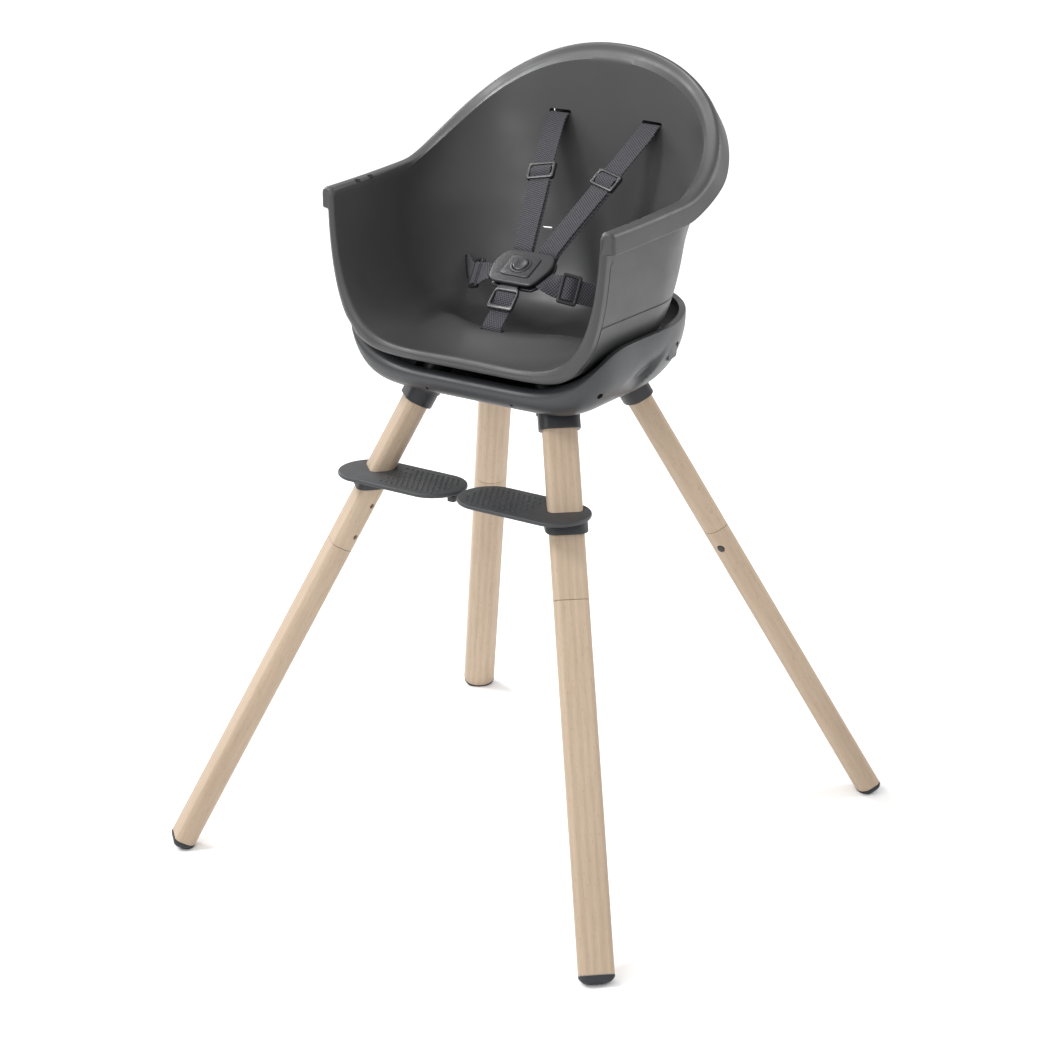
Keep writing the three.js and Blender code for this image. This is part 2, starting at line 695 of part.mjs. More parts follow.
// Frame at a point of the base wall whose z points along the given outward direction.
function facing(x, y, z, nx, ny, nz) {
  const normal = new THREE.Vector3(nx, ny, nz).normalize();
  const side = new THREE.Vector3().crossVectors(Z, normal).normalize();
  return frameMatrix(side, new THREE.Vector3().crossVectors(normal, side), normal, new THREE.Vector3(x, y, z));
}

function releaseFrame(sx) {
  return facing(sx * 177.8, RELEASE.y, RELEASE.z, sx * 0.976, 0.219, 0);
}

function baseBowl() {
  let bowl = columnBody(baseColumn, BASE_COLUMNS);
  for (const [, sx, sy] of CORNERS) {
    bowl = bowl.add(socketBoss(sx, sy));
  }
  for (const [, sx, sy] of CORNERS) {
    const hole = prism(legSection(COLLAR_WALL + GAP), COLLAR_Z * ALONG, (LEG_TOP_Z + 30) * ALONG, legFrame(sx, sy));
    bowl = bowl.subtract(hole);
  }
  for (const sx of [-1, 1]) {
    const releaseHole = roundedRect(14 + 2 * GAP, 9 + 2 * GAP, 5 + GAP);
    bowl = bowl.subtract(prism(releaseHole, -16, 16, releaseFrame(sx)));
    bowl = bowl.subtract(rod(3.6, -9, 12, facing(sx * 168.7, -96.4, 603.7, sx * 0.86, -0.32, -0.4), 10));
    bowl = bowl.subtract(rod(2.2, -6, 8, facing(sx * 60.5, -114.8, 577.3, 0, -0.83, -0.56), 8));
  }
  return bowl;
}

addNode('base_bowl', baseBowl(), BASE_PLASTIC);

function baseDeck() {
  const shape = roundedRect(118, 92, 55);
  let deck = prism(shape, DECK_TOP_Z - 12, DECK_TOP_Z - GAP, shift(0, 0, 0), 5);
  for (const [, sx, sy] of CORNERS) {
    deck = deck.subtract(prism(legSection(COLLAR_WALL + GAP), COLLAR_Z * ALONG, TOP_S + GAP, legFrame(sx, sy)));
  }
  return deck;
}

addNode('base_deck', baseDeck(), COLLAR_PLASTIC);
for (const [side, sx] of [['left', -1], ['right', 1]]) {
  addNode(`release_button_${side}`, prism(roundedRect(14, 9, 5), -9, 1.2, releaseFrame(sx)), BUTTON_PLASTIC);
}

// ---------------------------------------------------------------- footplates
// Where the latch pin of a footplate meets its leg: the highest of the three holes.
function pinFrame(sx) {
  return crossFrame(sx, -1, SEAM_S + HOLE_FIRST + 2 * HOLE_STEP, new THREE.Vector3(-sx, 0, 0));
}

function footplate(sx) {
  const mid = (PLATE_INNER_X + PLATE_OUTER_X) / 2;
  const half = (PLATE_OUTER_X - PLATE_INNER_X) / 2;
  const edge = (inset) => roundedRect(half - inset, PLATE_HALF_DEPTH - inset, PLATE_HALF_DEPTH - inset - 0.1)
    .getPoints(5).map((q) => [q.x + sx * mid, q.y + PLATE_Y]);
  const ring = (inset, z) => edge(inset).map(([x, y]) => new THREE.Vector3(x, y, z));
  const low = PLATE_Z - PLATE_THICK;
  const body = loft([ring(3, low), ring(0.6, low + 1.4), ring(0, low + 2.6), ring(0.7, PLATE_Z - 0.9), ring(2.4, PLATE_Z)]);
  return body.subtract(prism(legSection(0.7), (PLATE_Z - 60) * ALONG, (PLATE_Z + 60) * ALONG, legFrame(sx, -1)));
}

function latchAxis(sx) {
  return new THREE.Vector3().setFromMatrixPosition(pinFrame(sx));
}

function footClamp(sx) {
  const frame = legFrame(sx, -1);
  const top = PLATE_Z - PLATE_THICK - GAP;
  const pin = latchAxis(sx);
  const slab = box(400, 400, 8, shift(0, 0, top - 8));
  const sleeve = prism(legSection(4.5), (top - 60) * ALONG, (top + 60) * ALONG, frame).intersect(slab);
  const housing = box(20, 11, 7, shift(pin.x - sx * 19, pin.y, top - 7));
  return sleeve.add(housing)
    .subtract(prism(legSection(0.7), (top - 90) * ALONG, (top + 90) * ALONG, frame))
    .subtract(box(60, 5.5, 3.2, shift(pin.x - sx * 30, pin.y, top - 7)));
}

// Latch bar: a pin that points at the leg's holes, pulled inwards by the tab at the plate's inner end.
function footLatch(sx) {
  const pin = latchAxis(sx);
  const z = PLATE_Z - PLATE_THICK - GAP - 7;
  const inner = 9;
  const outer = Math.abs(pin.x) - 1.5;
  const length = outer - inner;
  const bar = box(length / 2 - 2, 5, 2.7, shift(sx * (inner + outer - 4) / 2, pin.y, z));
  const nose = rod(2.4, 0, 8, frameMatrix(Y, Z, X, new THREE.Vector3(sx > 0 ? outer - 8 : -outer, pin.y, z)), 12);
  const tab = box(5, 15, 3.6, shift(sx * (inner + 5), pin.y, z));
  return bar.add(nose).add(tab);
}

for (const [place, sx, sy] of CORNERS.slice(0, 2)) {
  const side = place.replace('front_', '');
  addNode(`footplate_${side}`, footplate(sx), PLATE_PLASTIC);
  addNode(`footplate_clamp_${side}`, footClamp(sx), PLATE_PLASTIC);
  addNode(`footplate_latch_${side}`, footLatch(sx), BUTTON_PLASTIC);
}

// ---------------------------------------------------------------- harness
// Point of the buckle: u to the right, v up its face, n out of its face.
const BUCKLE_V = new THREE.Vector3(0, Math.cos(BUCKLE_PITCH), Math.sin(BUCKLE_PITCH));
const BUCKLE_N = new THREE.Vector3(0, -Math.sin(BUCKLE_PITCH), Math.cos(BUCKLE_PITCH));
const BUCKLE_FRAME = frameMatrix(X, BUCKLE_V, BUCKLE_N, BUCKLE_CENTRE);

function onBuckle(u, v, n) {
  return new THREE.Vector3(u, v, n).applyMatrix4(BUCKLE_FRAME);
}

function polygon(corners) {
  return new THREE.Shape(corners.map(([x, y]) => new THREE.Vector2(x, y)));
}

// Outline of the buckle as its right half, from the top middle to the bottom middle.
const BUCKLE_HALF = [[29, 28.5], [35.5, 22.5], [39, 12], [39.5, 1], [34, -19.5], [29, -26], [24, -27.5]];

function buckleOutline() {
  const mirrored = BUCKLE_HALF.map(([x, y]) => [-x, y]).reverse();
  return polygon([...BUCKLE_HALF, ...mirrored]);
}

function buckleBody() {
  return prism(buckleOutline(), -8.6, -5, BUCKLE_FRAME)
    .subtract(rod(6, -7, -4, BUCKLE_FRAME.clone().multiply(shift(0, BUCKLE_BUTTON.v, 0))));
}

function buckleCover() {
  const centre = BUCKLE_FRAME.clone().multiply(shift(0, BUCKLE_BUTTON.v, 0));
  return prism(buckleOutline(), -0.6, COVER_TOP, BUCKLE_FRAME)
    .add(prism(roundedRect(20, 17, 4), 0, COVER_TOP + 0.8, BUCKLE_FRAME.clone().multiply(shift(0, 1, 0))))
    .add(rod(BUCKLE_BUTTON.radius + 3, 0, COVER_TOP + 1.6, centre, 28))
    .subtract(rod(BUCKLE_BUTTON.radius + GAP, -2, COVER_TOP + 4, centre, 28));
}

function buckleButton() {
  const centre = BUCKLE_FRAME.clone().multiply(shift(0, BUCKLE_BUTTON.v, 0));
  const profile = [[0, -1.6], [BUCKLE_BUTTON.radius, -1.6], [BUCKLE_BUTTON.radius, COVER_TOP + 2], [8.6, COVER_TOP + 3.2],
    [0, COVER_TOP + 3.6]];
  const turned = new THREE.LatheGeometry(profile.map(([r, h]) => new THREE.Vector2(r, h)), 28);
  return placed(turned.rotateX(Math.PI / 2), centre);
}

// Side tongue: an L-shaped plate between body and cover; a shoulder and a waist strap are sewn to its edges.
function sideTongue(sx) {
  const corners = [[1.5, 26.5], [28, 26.5], [33.5, 21.5], [36.5, 11.5], [37, 1], [32.5, -17], [13, -17], [13, 14], [1.5, 14]];
  return prism(polygon(corners.map(([x, y]) => [sx * x, y])), -4.4, -1, BUCKLE_FRAME);
}

const TONGUE_FRAME = frameMatrix(
  X,
  new THREE.Vector3(0, Math.cos(TONGUE_PITCH), Math.sin(TONGUE_PITCH)),
  new THREE.Vector3(0, -Math.sin(TONGUE_PITCH), Math.cos(TONGUE_PITCH)),
  onBuckle(0, -28.5, -2.7),
);

// Crotch tongue: a tab that plugs into the buckle and a loop with a window for the crotch strap.
function crotchTongue() {
  const tab = prism(polygon([[-11, -18], [11, -18], [13, -30.5], [-13, -30.5]]), -4.4, -1, BUCKLE_FRAME);
  const loop = prism(polygon([[-13, 0], [13, 0], [17.5, -7], [18.5, -31], [-18.5, -31], [-17.5, -7]]), -2, 2, TONGUE_FRAME);
  const window = prism(roundedRect(14, 9.2, 1.5), -6, 6, TONGUE_FRAME.clone().multiply(shift(0, -16.5, 0)));
  return tab.add(loop).subtract(window);
}

// Flat strap through a row of stations, each with the direction of its width.
function ribbon(stations, width = WEB) {
  return loft(stations.map(({ point, across }, i) => {
    const before = stations[Math.max(0, i - 1)].point;
    const after = stations[Math.min(stations.length - 1, i + 1)].point;
    const run = after.clone().sub(before).normalize();
    const side = across.clone().normalize();
    const thick = new THREE.Vector3().crossVectors(run, side).normalize();
    return [[1, 1], [-1, 1], [-1, -1], [1, -1]].map(([a, b]) => point.clone()
      .addScaledVector(side, (a * width) / 2)
      .addScaledVector(thick, (b * WEB_THICK) / 2));
  }));
}

function station(x, y, z, ax, ay, az) {
  return { point: new THREE.Vector3(x, y, z), across: new THREE.Vector3(ax, ay, az) };
}

// Where each adjuster sits on the right-hand straps, the way the strap runs there and its width direction.
const SHOULDER_SLIDER = { at: [46.5, 99.3, 795], run: [0.25, 0.714, 0.654], across: [0.94, -0.18, -0.165] };
const WAIST_SLIDER = { at: [66, -6.5, 690], run: [0.8, 0.53, -0.27], across: [0.02, -0.46, -0.84] };
const SLIDER_REACH = 14;              // the strap is straight this far to each side of an adjuster

function sliderStations(sx, { at, run, across }) {
  return [-SLIDER_REACH, 0, SLIDER_REACH].map((d) => {
    const [x, y, z] = at.map((v, i) => v + d * run[i]);
    return station(sx * x, y, z, sx * across[0], across[1], across[2]);
  });
}

function shoulderStrap(sx) {
  const start = onBuckle(sx * 17.5, 27.2, -2.8);
  return ribbon([
    station(start.x, start.y, start.z, 1, 0, 0),
    station(sx * 19, 22, 724, 1, 0, 0),
    ...sliderStations(sx, SHOULDER_SLIDER).map(({ point, across }) => ({ point, across: across.multiplyScalar(sx) })),
    station(sx * 64, 151, 842, 1, 0, 0),
    station(sx * 65.5, 160.5, 851, 1, 0, 0),
    station(sx * 66, 166, SHOULDER_SLOT.z, 1, 0, 0),
    station(sx * 66, 181, SHOULDER_SLOT.z, 1, 0, 0),
  ]);
}

function waistStrap(sx) {
  const start = onBuckle(sx * 37.6, -9, -2.8);
  const slot = waistFrame(sx);
  const up = new THREE.Vector3().setFromMatrixColumn(slot, 0).negate();
  const through = (depth) => ({ point: new THREE.Vector3(0, 0, depth).applyMatrix4(slot), across: up });
  return ribbon([
    station(start.x, start.y, start.z, 0, -0.889, -0.459),
    station(sx * 41, -16.5, 697.8, 0, -0.86, -0.5),
    ...sliderStations(sx, WAIST_SLIDER),
    station(sx * 98, 26, 678, -sx * 0.2, -0.46, -0.85),
    through(-9),
    through(-3),
    through(4),
  ]);
}

function crotchStrap() {
  const onTongue = (y, n) => new THREE.Vector3(0, y, n).applyMatrix4(TONGUE_FRAME);
  const low = FLOOR_Z + HUMP;
  const points = [onTongue(-8, 0), onTongue(-14, -0.8), onTongue(-24, -4.2), onTongue(-33, -4.6), onTongue(-42, -4)];
  return ribbon([
    ...points.map((q) => station(q.x, q.y, q.z, 1, 0, 0)),
    station(0, CROTCH_SLOT_Y + 0.3, low + 4, 1, 0, 0),
    station(0, CROTCH_SLOT_Y, low, 1, 0, 0),
    station(0, CROTCH_SLOT_Y, low - 8, 1, 0, 0),
  ]);
}

// Adjuster: a flat sleeve round the strap with a window in its upper face.
function slider(sx, { at, run, across }) {
  const mirrored = ([x, y, z]) => new THREE.Vector3(sx * x, y, z);
  const y = mirrored(run).normalize();
  const x = mirrored(across).addScaledVector(y, -mirrored(across).dot(y)).normalize();
  const z = new THREE.Vector3().crossVectors(x, y);
  if (z.z < 0) {
    x.negate();
    z.negate();
  }
  const frame = frameMatrix(x, y, z, mirrored(at));
  const window = prism(roundedRect(WEB / 2 + 0.4, 7.6, 1.2), 0, 8, frame, 1);
  return prism(roundedRect(17.2, 12, 3), -2.7, 3, frame, 2)
    .subtract(box(WEB / 2 + 0.7, 20, 1.5, frame))
    .subtract(window);
}

addNode('buckle_body', buckleBody(), BUCKLE_PLASTIC);
addNode('buckle_cover', buckleCover(), BUCKLE_PLASTIC);
addNode('buckle_button', buckleButton(), BUCKLE_PLASTIC);
addNode('crotch_tongue', crotchTongue(), BUCKLE_PLASTIC);
addNode('crotch_strap', crotchStrap(), WEBBING);
addNode('crotch_anchor', box(19, 5, 2, shift(0, CROTCH_SLOT_Y, FLOOR_Z + 10.6)), BUCKLE_PLASTIC);
for (const [side, sx] of [['left', -1], ['right', 1]]) {
  addNode(`tongue_${side}`, sideTongue(sx), BUCKLE_PLASTIC);
  addNode(`shoulder_strap_${side}`, shoulderStrap(sx), WEBBING);
  addNode(`shoulder_slider_${side}`, slider(sx, SHOULDER_SLIDER), BUCKLE_PLASTIC);
  addNode(`shoulder_anchor_${side}`, box(19, 2, 7, shift(sx * 66, 183.4, SHOULDER_SLOT.z)), BUCKLE_PLASTIC);
  addNode(`waist_strap_${side}`, waistStrap(sx), WEBBING);
  addNode(`waist_slider_${side}`, slider(sx, WAIST_SLIDER), BUCKLE_PLASTIC);
  addNode(`waist_anchor_${side}`, box(14, 4, 1.3, waistFrame(sx).multiply(shift(0, 0, 5.8))), BUCKLE_PLASTIC);
}

export default chair;
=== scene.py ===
"""Looks of the baby high chair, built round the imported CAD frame.

Shapes are worked out in millimetres, in the frame of the CAD model: +Z up, the front faces -Y.
Each piece is made in mm and scaled to metres by MM when its mesh is written."""

import json
import math

import bmesh
import bpy
from mathutils import Matrix, Vector

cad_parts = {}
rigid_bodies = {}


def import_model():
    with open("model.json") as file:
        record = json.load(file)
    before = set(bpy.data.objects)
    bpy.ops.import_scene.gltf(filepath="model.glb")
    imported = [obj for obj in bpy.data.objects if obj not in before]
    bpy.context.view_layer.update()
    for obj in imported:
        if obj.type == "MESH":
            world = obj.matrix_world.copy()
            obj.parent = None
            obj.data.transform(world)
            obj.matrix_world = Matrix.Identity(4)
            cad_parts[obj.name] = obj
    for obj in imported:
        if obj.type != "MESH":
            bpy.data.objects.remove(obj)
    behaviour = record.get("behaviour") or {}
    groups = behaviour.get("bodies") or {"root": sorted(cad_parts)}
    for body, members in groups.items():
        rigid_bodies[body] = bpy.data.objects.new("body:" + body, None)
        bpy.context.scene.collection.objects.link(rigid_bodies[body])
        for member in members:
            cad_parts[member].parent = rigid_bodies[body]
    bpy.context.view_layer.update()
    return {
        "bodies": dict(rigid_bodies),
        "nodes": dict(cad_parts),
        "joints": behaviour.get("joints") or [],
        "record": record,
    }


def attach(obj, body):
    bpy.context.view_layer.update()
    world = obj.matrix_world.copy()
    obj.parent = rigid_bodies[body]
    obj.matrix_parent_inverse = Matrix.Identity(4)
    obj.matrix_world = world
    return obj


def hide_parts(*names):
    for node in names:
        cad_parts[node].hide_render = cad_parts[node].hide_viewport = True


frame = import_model()

MM = 0.001
X, Y, Z = Vector((1, 0, 0)), Vector((0, 1, 0)), Vector((0, 0, 1))
SIDES = (("left", -1), ("right", 1))
CORNERS = (("front_left", -1, -1), ("front_right", 1, -1), ("rear_left", -1, 1), ("rear_right", 1, 1))

# -------- camera, lights, floor
CAMERA_TARGET = Vector((0, 0, 0.44832))
CAMERA_AZIMUTH = math.radians(35.68)
CAMERA_ELEVATION = math.radians(18.99)
CAMERA_ROLL = math.radians(-0.57)
CAMERA_DISTANCE = 3.5011
CAMERA_LENS, SENSOR_WIDTH = 100.43, 36
CAMERA_SHIFT = (-0.0028, -0.0469)
WORLD_STRENGTH = 0.82
FLOOR_HALF, FLOOR_SHADE = 12, 0.96


def basis(x, y, z, origin):
    """Frame with the given axes and origin."""
    place = Matrix((x, y, z)).transposed().to_4x4()
    place.translation = origin
    return place


def new_object(name, data):
    made = bpy.data.objects.new(name, data)
    bpy.context.scene.collection.objects.link(made)
    return made


def make_camera():
    az, el = CAMERA_AZIMUTH, CAMERA_ELEVATION
    back = Vector((math.sin(az) * math.cos(el), -math.cos(az) * math.cos(el), math.sin(el)))
    right = (-back).cross(Z).normalized()
    up = right.cross(-back)
    c, s = math.cos(CAMERA_ROLL), math.sin(CAMERA_ROLL)
    right, up = c * right + s * up, -s * right + c * up
    data = bpy.data.cameras.new("camera")
    data.sensor_width = SENSOR_WIDTH
    data.lens = CAMERA_LENS
    data.shift_x, data.shift_y = CAMERA_SHIFT
    camera = new_object("camera", data)
    camera.matrix_world = basis(right, up, back, CAMERA_TARGET + back * CAMERA_DISTANCE)
    bpy.context.scene.camera = camera


def area_light(name, location, target, size, power):
    data = bpy.data.lights.new(name, "AREA")
    data.shape = "RECTANGLE"
    data.size, data.size_y = size
    data.energy = power
    light = new_object(name, data)
    light.location = location
    light.rotation_euler = (Vector(target) - Vector(location)).to_track_quat("-Z", "Y").to_euler()


def sun_light(name, direction, angle, strength):
    data = bpy.data.lights.new(name, "SUN")
    data.angle = math.radians(angle)
    data.energy = strength
    light = new_object(name, data)
    light.rotation_euler = Vector(direction).to_track_quat("Z", "Y").to_euler()


def make_studio():
    """Even white surroundings, a soft sun from the front left and three panels for the edge highlights."""
    scene = bpy.context.scene
    scene.view_settings.view_transform = "Standard"
    world = bpy.data.worlds.new("studio")
    world.use_nodes = True
    background = world.node_tree.nodes["Background"]
    background.inputs["Color"].default_value = (1, 1, 1, 1)
    background.inputs["Strength"].default_value = WORLD_STRENGTH
    scene.world = world
    sun_light("key", (-1.2, -1.25, 2.1), 16, 1.6)
    area_light("front", (0.4, -2.8, 2.0), (0, 0, 0.7), (1.6, 1.4), 20)
    area_light("rim_left", (-2.4, 0.6, 2.0), (0, 0, 0.8), (0.5, 1.6), 40)
    area_light("rim_right", (1.9, 2.3, 1.9), (0, 0, 0.8), (0.6, 1.6), 30)
    mesh = bpy.data.meshes.new("floor")
    corners = [(x * FLOOR_HALF, y * FLOOR_HALF, 0) for x, y in ((-1, -1), (1, -1), (1, 1), (-1, 1))]
    mesh.from_pydata(corners, [], [(0, 1, 2, 3)])
    floor = new_object("floor", mesh)
    material = bpy.data.materials.new("floor_paper")
    material.use_nodes = True
    shader = material.node_tree.nodes["Principled BSDF"]
    shader.inputs["Base Color"].default_value = (FLOOR_SHADE, FLOOR_SHADE, FLOOR_SHADE, 1)
    shader.inputs["Roughness"].default_value = 0.9
    mesh.materials.append(material)


make_camera()
make_studio()


# -------- materials
class Nodes:
    """Short way to wire a material's node tree."""

    def __init__(self, name):
        self.material = bpy.data.materials.new(name)
        self.material.use_nodes = True
        self.tree = self.material.node_tree
        self.shader = self.tree.nodes["Principled BSDF"]

    def feed(self, socket, value):
        """Gives a socket a plain value, or links another socket to it."""
        if isinstance(value, bpy.types.NodeSocket):
            self.tree.links.new(value, socket)
        else:
            socket.default_value = value

    def add(self, kind, inputs=None, **settings):
        node = self.tree.nodes.new(kind)
        for key, value in settings.items():
            setattr(node, key, value)
        for key, value in (inputs or {}).items():
            self.feed(node.inputs[key], value)
        return node

    def set(self, **values):
        for key, value in values.items():
            self.feed(self.shader.inputs[key.replace("_", " ")], value)

    def coords(self, scale=(1, 1, 1)):
        source = self.add("ShaderNodeTexCoord").outputs["Object"]
        return self.add("ShaderNodeMapping", {"Vector": source, "Scale": scale}).outputs[0]

    def noise(self, vector, scale, detail=2.0, roughness=0.5):
        inputs = {"Vector": vector, "Scale": scale, "Detail": detail, "Roughness": roughness}
        return self.add("ShaderNodeTexNoise", inputs).outputs["Fac"]

    def spread(self, value, low, high):
        """Stretches the usual span of a noise over low to high."""
        inputs = {"Value": value, "From Min": 0.3, "From Max": 0.7, "To Min": low, "To Max": high}
        return self.add("ShaderNodeMapRange", inputs).outputs[0]

    def ramp(self, value, stops):
        node = self.add("ShaderNodeValToRGB", {"Fac": value})
        elements = node.color_ramp.elements
        while len(elements) < len(stops):
            elements.new(0.5)
        for element, (position, color) in zip(elements, stops):
            element.position = position
            element.color = (*color, 1)
        return node.outputs["Color"]

    def maths(self, operation, a, b=0.0):
        return self.add("ShaderNodeMath", {0: a, 1: b}, operation=operation).outputs[0]

    def multiply(self, a, b):
        """Product of two colours."""
        inputs = {0: 1.0, 6: a, 7: b}
        return self.add("ShaderNodeMix", inputs, data_type="RGBA", blend_type="MULTIPLY").outputs[2]

    def bump(self, height, strength, distance):
        inputs = {"Height": height, "Strength": strength, "Distance": distance}
        return self.add("ShaderNodeBump", inputs).outputs[0]


DISPLAY_GAMMA = 2.2


def srgb(r, g, b):
    return tuple((v / 255) ** DISPLAY_GAMMA for v in (r, g, b))


def scaled(color, k):
    return tuple(v * k for v in color)


def moulded(name, color, roughness, grain=0.25, coat=0.0):
    """Injection-moulded plastic: fine spark-eroded grain, faint flow mottling and uneven gloss."""
    n = Nodes(name)
    at = n.coords()
    mottle = n.noise(at, 9, 3)
    fine = n.noise(at, 1500, 2, 0.6)
    pits = n.noise(at, 420, 3, 0.65)
    n.set(Base_Color=n.ramp(mottle, [(0.3, scaled(color, 0.94)), (0.7, scaled(color, 1.07))]))
    n.set(Roughness=n.spread(n.noise(at, 30, 4), roughness - 0.05, roughness + 0.06))
    height = n.maths("ADD", fine, n.maths("MULTIPLY", pits, 0.6))
    n.set(Normal=n.bump(height, grain, 0.00012))
    n.set(Specular_IOR_Level=0.5)
    n.set(Coat_Weight=coat)
    n.set(Coat_Roughness=0.35)
    return n.material


WOOD_DARK, WOOD_MIDDLE, WOOD_PALE = srgb(164, 145, 125), srgb(177, 158, 137), srgb(188, 170, 149)
WEAVE_ACROSS, WEAVE_ALONG = 6.4, 5.6


def beech(name):
    """Pale beech under a matt clear lacquer: grain along local z, short ray flecks, slow colour drift."""
    n = Nodes(name)
    long_grain = n.coords((1, 1, 0.06))
    drift = n.noise(n.coords((1, 1, 0.15)), 14, 3)
    warp = n.noise(n.coords((1, 1, 0.10)), 26, 2)
    bands = {
        "Vector": n.coords((1, 0.55, 0.03)), "Scale": 34.0,
        "Distortion": 5.0, "Detail": 3.0, "Detail Scale": 0.7,
    }
    lines = n.add("ShaderNodeTexWave", bands, wave_type="BANDS", bands_direction="X").outputs["Fac"]
    fibres = n.noise(long_grain, 420, 4, 0.6)
    flecks = n.noise(n.coords((1, 1, 0.16)), 900, 1)
    mixed = n.maths("ADD", n.maths("MULTIPLY", lines, 0.14), n.maths("MULTIPLY", drift, 0.86))
    base = n.ramp(mixed, [(0.25, WOOD_DARK), (0.5, WOOD_MIDDLE), (0.78, WOOD_PALE)])
    fibre_tint = n.ramp(fibres, [(0.3, (0.90, 0.875, 0.85)), (0.65, (1, 1, 1))])
    fleck_tint = n.ramp(flecks, [(0.27, (0.84, 0.79, 0.74)), (0.36, (1, 1, 1))])
    n.set(Base_Color=n.multiply(n.multiply(base, fibre_tint), fleck_tint))
    n.set(Roughness=n.spread(warp, 0.5, 0.62))
    n.set(Normal=n.bump(fibres, 0.22, 0.0003))
    n.set(Specular_IOR_Level=0.4)
    return n.material


def webbing(name, color):
    """Coarse woven strap on a UV map in mm: over-and-under yarns with fuzz. The weave layout is real; its
    colour carries painted shade in the gaps between yarns and a painted highlight on the yarn crowns.
    """
    n = Nodes(name)
    uv = n.add("ShaderNodeTexCoord").outputs["UV"]
    split = n.add("ShaderNodeSeparateXYZ", {0: uv})
    u, v = split.outputs[0], split.outputs[1]
    yarn_u = n.maths("MULTIPLY", u, 2 * math.pi / WEAVE_ACROSS)
    yarn_v = n.maths("MULTIPLY", v, 2 * math.pi / WEAVE_ALONG)
    slant = n.maths("ADD", yarn_v, n.maths("MULTIPLY", yarn_u, 0.5))
    ribs = n.maths("ABSOLUTE", n.maths("SINE", slant))
    counter = n.maths("SUBTRACT", yarn_u, n.maths("MULTIPLY", yarn_v, 0.5))
    ends = n.maths("ABSOLUTE", n.maths("SINE", counter))
    weave = n.maths("MULTIPLY", n.maths("POWER", ribs, 0.7), n.maths("POWER", ends, 0.5))
    fuzz = n.noise(n.add("ShaderNodeTexCoord").outputs["Object"], 2600, 2)
    # Weave colour runs from 0.2 to 2.6 times the one yarn colour: painted shade in the gaps between yarns,
    # painted highlight on the crowns.
    painted_weave_shade_and_highlight = n.ramp(weave, [(0.1, scaled(color, 0.2)), (0.5, color), (0.95, scaled(color, 2.6))])
    n.set(Base_Color=painted_weave_shade_and_highlight)
    n.set(Roughness=0.78)
    height = n.maths("ADD", weave, n.maths("MULTIPLY", fuzz, 0.3))
    n.set(Normal=n.bump(height, 0.9, 0.0006))
    n.set(Sheen_Weight=0.1)
    n.set(Sheen_Roughness=0.5)
    return n.material


def rubber(name, color):
    """Moulded rubber, dull and a little dusty."""
    n = Nodes(name)
    at = n.coords()
    n.set(Base_Color=n.ramp(n.noise(at, 60, 3), [(0.3, scaled(color, 0.85)), (0.7, scaled(color, 1.15))]))
    n.set(Roughness=n.spread(n.noise(at, 90, 3), 0.62, 0.78))
    n.set(Normal=n.bump(n.noise(at, 1200, 3, 0.7), 0.35, 0.0002))
    return n.material


def steel(name):
    """Drawn steel bar with streaks along its length."""
    n = Nodes(name)
    streaks = n.noise(n.coords((1, 1, 0.02)), 900, 3)
    n.set(Base_Color=n.ramp(streaks, [(0.3, (0.50, 0.50, 0.50)), (0.7, (0.62, 0.62, 0.62))]))
    n.set(Roughness=n.spread(streaks, 0.28, 0.42))
    n.set(Normal=n.bump(streaks, 0.1, 0.0001))
    n.set(Metallic=1.0)
    return n.material


SHELL = moulded("graphite_shell", srgb(62, 62, 63), 0.42)
BASE = moulded("graphite_base", srgb(52, 53, 55), 0.40)
COLLAR = moulded("dark_collar", srgb(24, 25, 29), 0.42, 0.3)
PLATE = moulded("graphite_plate", srgb(53, 54, 56), 0.5, 0.4)
BUTTON = moulded("button_plastic_look", srgb(44, 44, 46), 0.45)
BUCKLE = moulded("buckle_acetal", srgb(34, 34, 37), 0.3, 0.15, 0.3)
WEBBING = webbing("harness_webbing", srgb(52, 52, 57))
BEECH = beech("beech_lacquered")
RUBBER = rubber("foot_rubber_look", srgb(42, 44, 48))
STEEL = steel("steel_bar")


# -------- mesh helpers
SMOOTH_ANGLE = 35
WELD = 0.01
NO_BEVEL = 0.01


def shade(mesh, smooth_angle=SMOOTH_ANGLE):
    for polygon in mesh.polygons:
        polygon.use_smooth = True
    mesh.set_sharp_from_angle(angle=math.radians(smooth_angle))


def finish_mesh(name, mesh, material, smooth_angle, weld, collapse=0.0):
    """An object from a mesh in metres. Points nearer than weld mm become one, normals turn outwards."""
    bm = bmesh.new()
    bm.from_mesh(mesh)
    bmesh.ops.remove_doubles(bm, verts=bm.verts, dist=weld * MM)
    if collapse:
        bmesh.ops.dissolve_degenerate(bm, edges=bm.edges, dist=collapse * MM)
    bmesh.ops.recalc_face_normals(bm, faces=bm.faces)
    bm.to_mesh(mesh)
    bm.free()
    mesh.materials.clear()
    mesh.materials.append(material)
    shade(mesh, smooth_angle)
    return new_object(name, mesh)


def mesh_piece(name, points, faces, material, smooth_angle=SMOOTH_ANGLE, merge=WELD):
    """A piece from points in mm."""
    mesh = bpy.data.meshes.new(name)
    mesh.from_pydata([tuple(v * MM for v in p) for p in points], [], faces)
    return finish_mesh(name, mesh, material, smooth_angle, merge, 0.5 * merge)


def grid_faces(rows, n, start=0, around=False):
    """Quads between rows of n points; around joins the last row to the first."""
    faces = []
    for r in range(rows if around else rows - 1):
        a, b = start + r * n, start + (r + 1) % rows * n
        faces += [(a + i, b + i, b + i + 1, a + i + 1) for i in range(n - 1)]
    return faces


